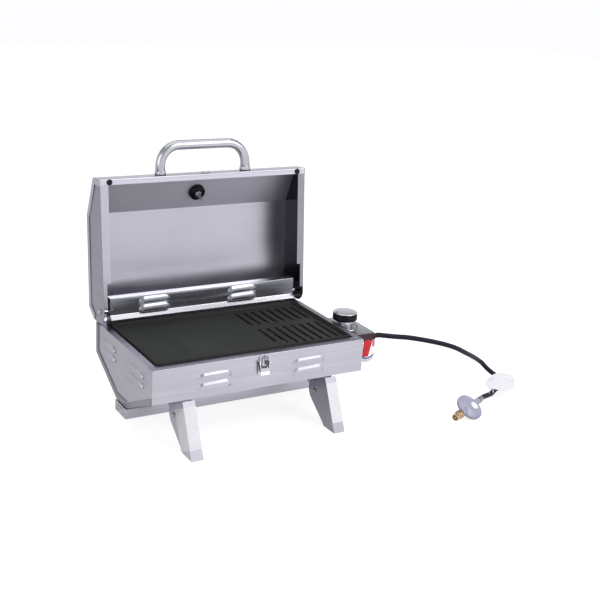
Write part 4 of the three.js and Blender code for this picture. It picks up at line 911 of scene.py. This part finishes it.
class GRILL_OT_fixings(bpy.types.Operator):
    """Set the screws, rivets, and a dark ring of painted shade for the groove of the knob's round plate"""

    bl_idname = "grill.fixings"
    bl_label = "Fixings"

    def execute(self, context):
        work = bmesh.new()
        add_screw(work, spot(309.5, -41, -17.5), UP, radius=2.6, height=1.2)
        add_screw(work, spot(242, -146, 0), UP, radius=2.4, height=1.0)
        make_piece("small_screws", work, "screw steel")
        work = bmesh.new()
        for y in (-16.5, 24.5):
            add_rivet(work, spot(-255, y, -108), -RIGHT, radius=2.3)
        add_rivet(work, spot(-230.7, 129, 34), (0, -1, 0), radius=2.0)
        make_piece("side_rivets", work, "screw steel")
        # A thin dark ring of painted shade for the groove of the knob's round plate
        groove = [(29.2, 0), (30.6, 0), (30.6, 0.08), (29.2, 0.08), (29.2, 0)]
        turned_piece("bezel_groove", "painted shade black", groove, spot(290, -26, -17.5), UP, steps=64)
        pointer = [(0, 0), (1.92, 0), (1.92, 1.5), (0, 1.6)]
        turned_piece("knob_pointer", "dial ink", pointer, spot(267, -26, 17.65), UP, steps=16,
                     body="knob")
        for side, sign in (("left", -1), ("right", 1)):
            self.make_hem(side, sign)
        return {"FINISHED"}

    @staticmethod
    def make_hem(side, sign):
        """The folded hem along the side panel's lower front edge"""
        panel, thick = 254.9, 1.3
        upper = ((-27, -120.8), (-84.5, -94.9), (-142, -68.9))
        lower = ((-27, -133.9), (-92.3, -104.9), (-157.6, -75.9))
        work = bmesh.new()
        rows = [[spot(sign * panel, y, z) for y, z in row] for row in (upper, lower)]
        sheet_between(work, *rows)
        grown = bmesh.ops.extrude_face_region(work, geom=work.faces[:])["geom"]
        outer = [item for item in grown if isinstance(item, bmesh.types.BMVert)]
        bmesh.ops.translate(work, verts=outer, vec=RIGHT * (sign * thick * MM))
        make_piece("side_hem_" + side, work, "hem steel with painted light")


class GRILL_OT_dial(bpy.types.Operator):
    """Print the thermometer's scale: ticks and plain numbers"""

    bl_idname = "grill.dial"
    bl_label = "Thermometer Scale"

    def execute(self, context):
        ticks, numbered, first_angle, tick_angle = 31, 5, 135, 9
        first_number, tick_number, number_size = 50, 10, 3.6
        ring, number_ring, level = 20.4, 14.2, 5.36
        way = LID_TURN @ Vector((0, -0.4672, 0.8842))
        middle = lid_spot(1.5, -112.25, 69.73) + way * (level * MM)
        upright = way.cross(RIGHT)
        work = bmesh.new()
        for step in range(ticks):
            angle = math.radians(first_angle - tick_angle * step)
            out = RIGHT * -math.sin(angle) + upright * math.cos(angle)
            long, wide = (1.7, 0.18) if step % numbered else (3.2, 0.32)
            axes = Matrix((out.cross(way), out, way)).transposed().to_4x4()
            place = Matrix.Translation(middle + out * (ring - long / 2) * MM) @ axes
            bmesh.ops.create_grid(work, x_segments=1, y_segments=1, size=0.5,
                                  matrix=place @ Matrix.Diagonal((wide * MM, long * MM, 1, 1)))
            if step % numbered == 0:
                axes = Matrix((RIGHT, upright, way)).transposed().to_4x4()
                place = Matrix.Translation(middle + out * number_ring * MM) @ axes
                add_figure(work, str(first_number + step * tick_number), number_size, place)
        make_piece("dial_scale", work, "dial ink", "lid", thick=0.03)
        return {"FINISHED"}


class GRILL_OT_burner_ports(bpy.types.Operator):
    """Set dark discs of painted shade for the rows of gas ports along the burner tube"""

    bl_idname = "grill.burner_ports"
    bl_label = "Burner Ports"

    def execute(self, context):
        first, pitch, ports = -180, 13, 24
        drop, tube, port, deep = -60, 9.75, 1.1, 0.2
        work = bmesh.new()
        for y in (-66, 66):
            for step in range(ports):
                for lean in (-0.6, 0.6):
                    way = Vector((0, math.sin(lean), math.cos(lean)))
                    foot = spot(first + step * pitch, y, drop) + way * tube * MM
                    turned_round(work, [(0, 0), (port, 0), (port, deep), (0, deep)], foot, way, steps=8)
        make_piece("burner_ports", work, "painted shade black")
        return {"FINISHED"}


class GRILL_OT_studio(bpy.types.Operator):
    """Lay a plain pale floor and hang soft lamps"""

    bl_idname = "grill.studio"
    bl_label = "Studio"

    def execute(self, context):
        context.scene.view_settings.view_transform = "Standard"
        self.make_world(context.scene)
        self.make_floor(context.scene.grill_studio)
        self.hang_lamps(context.scene.grill_studio)
        return {"FINISHED"}

    def make_world(self, scene):
        """Even light from all round, and a plain background that darkens overhead in what metal mirrors"""
        studio = scene.grill_studio
        world = bpy.data.worlds.new("studio_world")
        scene.world = world
        world.use_nodes = True
        tree = world.node_tree
        tree.nodes.clear()
        seen = self.seen_directly(tree)
        sockets = {"Color": (0.97, 0.98, 1.0, 1), "Strength": studio.fill_light}
        soft = add_node(tree, "ShaderNodeBackground", sockets)
        height = split(tree, add_node(tree, "ShaderNodeTexCoord").outputs["Generated"])["Z"]
        dimming = spread(tree, height, 0.12, 0.6, 1.0, studio.ceiling)
        plain = add_node(tree, "ShaderNodeBackground", {"Color": (0.98, 0.985, 1, 1), "Strength": dimming})
        shown = add_node(tree, "ShaderNodeMixShader", {0: seen, 1: soft.outputs[0], 2: plain.outputs[0]})
        add_node(tree, "ShaderNodeOutputWorld", {"Surface": shown.outputs[0]})

    def make_floor(self, studio):
        """A wide pale floor that glows evenly to the eye and falls off in what metal mirrors"""
        half = 8
        work = bmesh.new()
        bmesh.ops.create_grid(work, x_segments=2, y_segments=2, size=half)
        mesh = bpy.data.meshes.new("studio_floor")
        work.to_mesh(mesh)
        work.free()
        add_object("studio_floor", mesh)
        material = bpy.data.materials.new("studio floor")
        material.use_nodes = True
        tree = material.node_tree
        tree.nodes.clear()
        seen = self.seen_directly(tree)
        mirrored = add_node(tree, "ShaderNodeLightPath").outputs["Is Glossy Ray"]
        place = split(tree, place_on_object(tree))
        ahead = math_node(tree, "SUBTRACT", product(tree, place["X"], 0.6), product(tree, place["Y"], 0.8))
        falling = spread(tree, ahead, -0.55, 0.5, studio.floor_far, studio.floor_near)
        strength = product(tree, seen, blend_value(tree, mirrored, 0.8, falling))
        pale = add_node(tree, "ShaderNodeBsdfDiffuse", {"Color": (0.42, 0.42, 0.42, 1)})
        glow = add_node(tree, "ShaderNodeEmission", {"Color": (1, 1, 1, 1), "Strength": strength})
        both = add_node(tree, "ShaderNodeAddShader", {0: pale.outputs[0], 1: glow.outputs[0]})
        add_node(tree, "ShaderNodeOutputMaterial", {"Surface": both.outputs[0]})
        mesh.materials.append(material)

    @staticmethod
    def hang_lamps(studio):
        """Three square lamps, each aimed at the grill"""
        target = Vector((0, 0, 0.15))
        lamps = (("key_lamp", (1.5, -2.0, 2.2), 2.2, studio.key_light),
                 ("side_lamp", (-2.4, -0.7, 1.5), 1.6, studio.side_light),
                 ("top_lamp", (0.1, 0.5, 2.7), 2.4, studio.top_light))
        for name, place, size, power in lamps:
            lamp = bpy.data.lights.new(name, "AREA")
            lamp.size = size
            lamp.energy = power
            turn = (target - Vector(place)).to_track_quat("-Z", "Y").to_matrix().to_4x4()
            add_object(name, lamp).matrix_world = Matrix.Translation(place) @ turn

    @staticmethod
    def seen_directly(tree):
        """One for camera, mirror and glass rays, nought for soft light."""
        path = add_node(tree, "ShaderNodeLightPath").outputs
        seen = math_node(tree, "MAXIMUM", path["Is Camera Ray"], path["Is Glossy Ray"])
        return math_node(tree, "MAXIMUM", seen, path["Is Transmission Ray"])


class GrillFinish(bpy.types.PropertyGroup):
    steel_colour: bpy.props.FloatVectorProperty(
        name="Steel colour", description="Colour of the brushed sheet steel", subtype="COLOR", size=3,
        min=0, max=1, default=tone(196, 195, 206)[:3])
    steel_roughness: bpy.props.FloatProperty(
        name="Steel roughness", description="How dull the brushed steel is", min=0, max=1, default=0.32)
    plate_colour: bpy.props.FloatVectorProperty(
        name="Plate colour", description="Colour of the seasoned cast plate", subtype="COLOR", size=3,
        min=0, max=1, default=tone(50, 52, 50)[:3])
    hose_colour: bpy.props.FloatVectorProperty(
        name="Hose colour", description="Colour of the rubber hose", subtype="COLOR", size=3,
        min=0, max=1, default=tone(33, 31, 46)[:3])
    hose_diameter: bpy.props.FloatProperty(
        name="Hose diameter", description="Outer diameter of the hose", unit="LENGTH", min=0.004,
        default=0.012)
    label_wrap: bpy.props.FloatProperty(
        name="Label wrap", description="How far the left label reaches round the leg's outer wall",
        unit="LENGTH", min=0, default=0.047)


class GrillStudio(bpy.types.PropertyGroup):
    azimuth: bpy.props.FloatProperty(
        name="Azimuth", description="Turn of the camera round the grill", subtype="ANGLE",
        default=math.radians(-31.35))
    elevation: bpy.props.FloatProperty(
        name="Elevation", description="Height of the camera over the horizon", subtype="ANGLE",
        default=math.radians(18.16))
    roll: bpy.props.FloatProperty(
        name="Roll", description="Lean of the camera", subtype="ANGLE", default=math.radians(3.52))
    lens: bpy.props.FloatProperty(
        name="Focal length", description="Focal length on a 36 mm sensor", subtype="DISTANCE_CAMERA",
        default=64.926)
    fill_light: bpy.props.FloatProperty(
        name="Fill light", description="Strength of the light from all round", min=0, default=0.62)
    ceiling: bpy.props.FloatProperty(
        name="Ceiling", description="How bright the studio is overhead, next to its walls", min=0, max=1,
        default=0.42)
    floor_near: bpy.props.FloatProperty(
        name="Floor in front", description="Glow of the floor in front, as metal shows it", min=0, max=1,
        default=0.65)
    floor_far: bpy.props.FloatProperty(
        name="Floor behind", description="Glow of the floor behind, as metal shows it", min=0, max=1,
        default=0.3)
    key_light: bpy.props.FloatProperty(
        name="Key lamp", description="Power of the lamp in front", unit="POWER", min=0, default=46)
    side_light: bpy.props.FloatProperty(
        name="Side lamp", description="Power of the lamp on the left", unit="POWER", min=0, default=14)
    top_light: bpy.props.FloatProperty(
        name="Top lamp", description="Power of the lamp overhead", unit="POWER", min=0, default=18)


STEPS = (GRILL_OT_camera, GRILL_OT_gas_line, GRILL_OT_sheet_metal, GRILL_OT_leg_labels, GRILL_OT_box_tag,
         GRILL_OT_fixings, GRILL_OT_dial, GRILL_OT_burner_ports, GRILL_OT_studio)


class GRILL_PT_finish(bpy.types.Panel):
    """Sizes, colours and steps of the camp grill's finish"""

    bl_idname = "GRILL_PT_finish"
    bl_label = "Camp Grill"
    bl_space_type = "VIEW_3D"
    bl_region_type = "UI"
    bl_category = "Camp Grill"

    def draw(self, context):
        for group in (context.scene.grill_finish, context.scene.grill_studio):
            box = self.layout.box()
            for name in group.bl_rna.properties.keys():
                if name not in ("rna_type", "name"):
                    box.prop(group, name)
        for step in STEPS:
            self.layout.operator(step.bl_idname)


CLASSES = (GrillFinish, GrillStudio, *STEPS, GRILL_PT_finish)


def register():
    for item in CLASSES:
        bpy.utils.register_class(item)
    bpy.types.Scene.grill_finish = bpy.props.PointerProperty(type=GrillFinish)
    bpy.types.Scene.grill_studio = bpy.props.PointerProperty(type=GrillStudio)


def unregister():
    del bpy.types.Scene.grill_studio
    del bpy.types.Scene.grill_finish
    for item in reversed(CLASSES):
        bpy.utils.unregister_class(item)


def main():
    register()
    for build in (build_brushed_grain, build_edge_highlight_and_wear, build_fine_grain, build_materials):
        build()
    for step in STEPS:
        getattr(bpy.ops.grill, step.bl_idname.split(".")[1])()


if __name__ == "__main__":
    main()
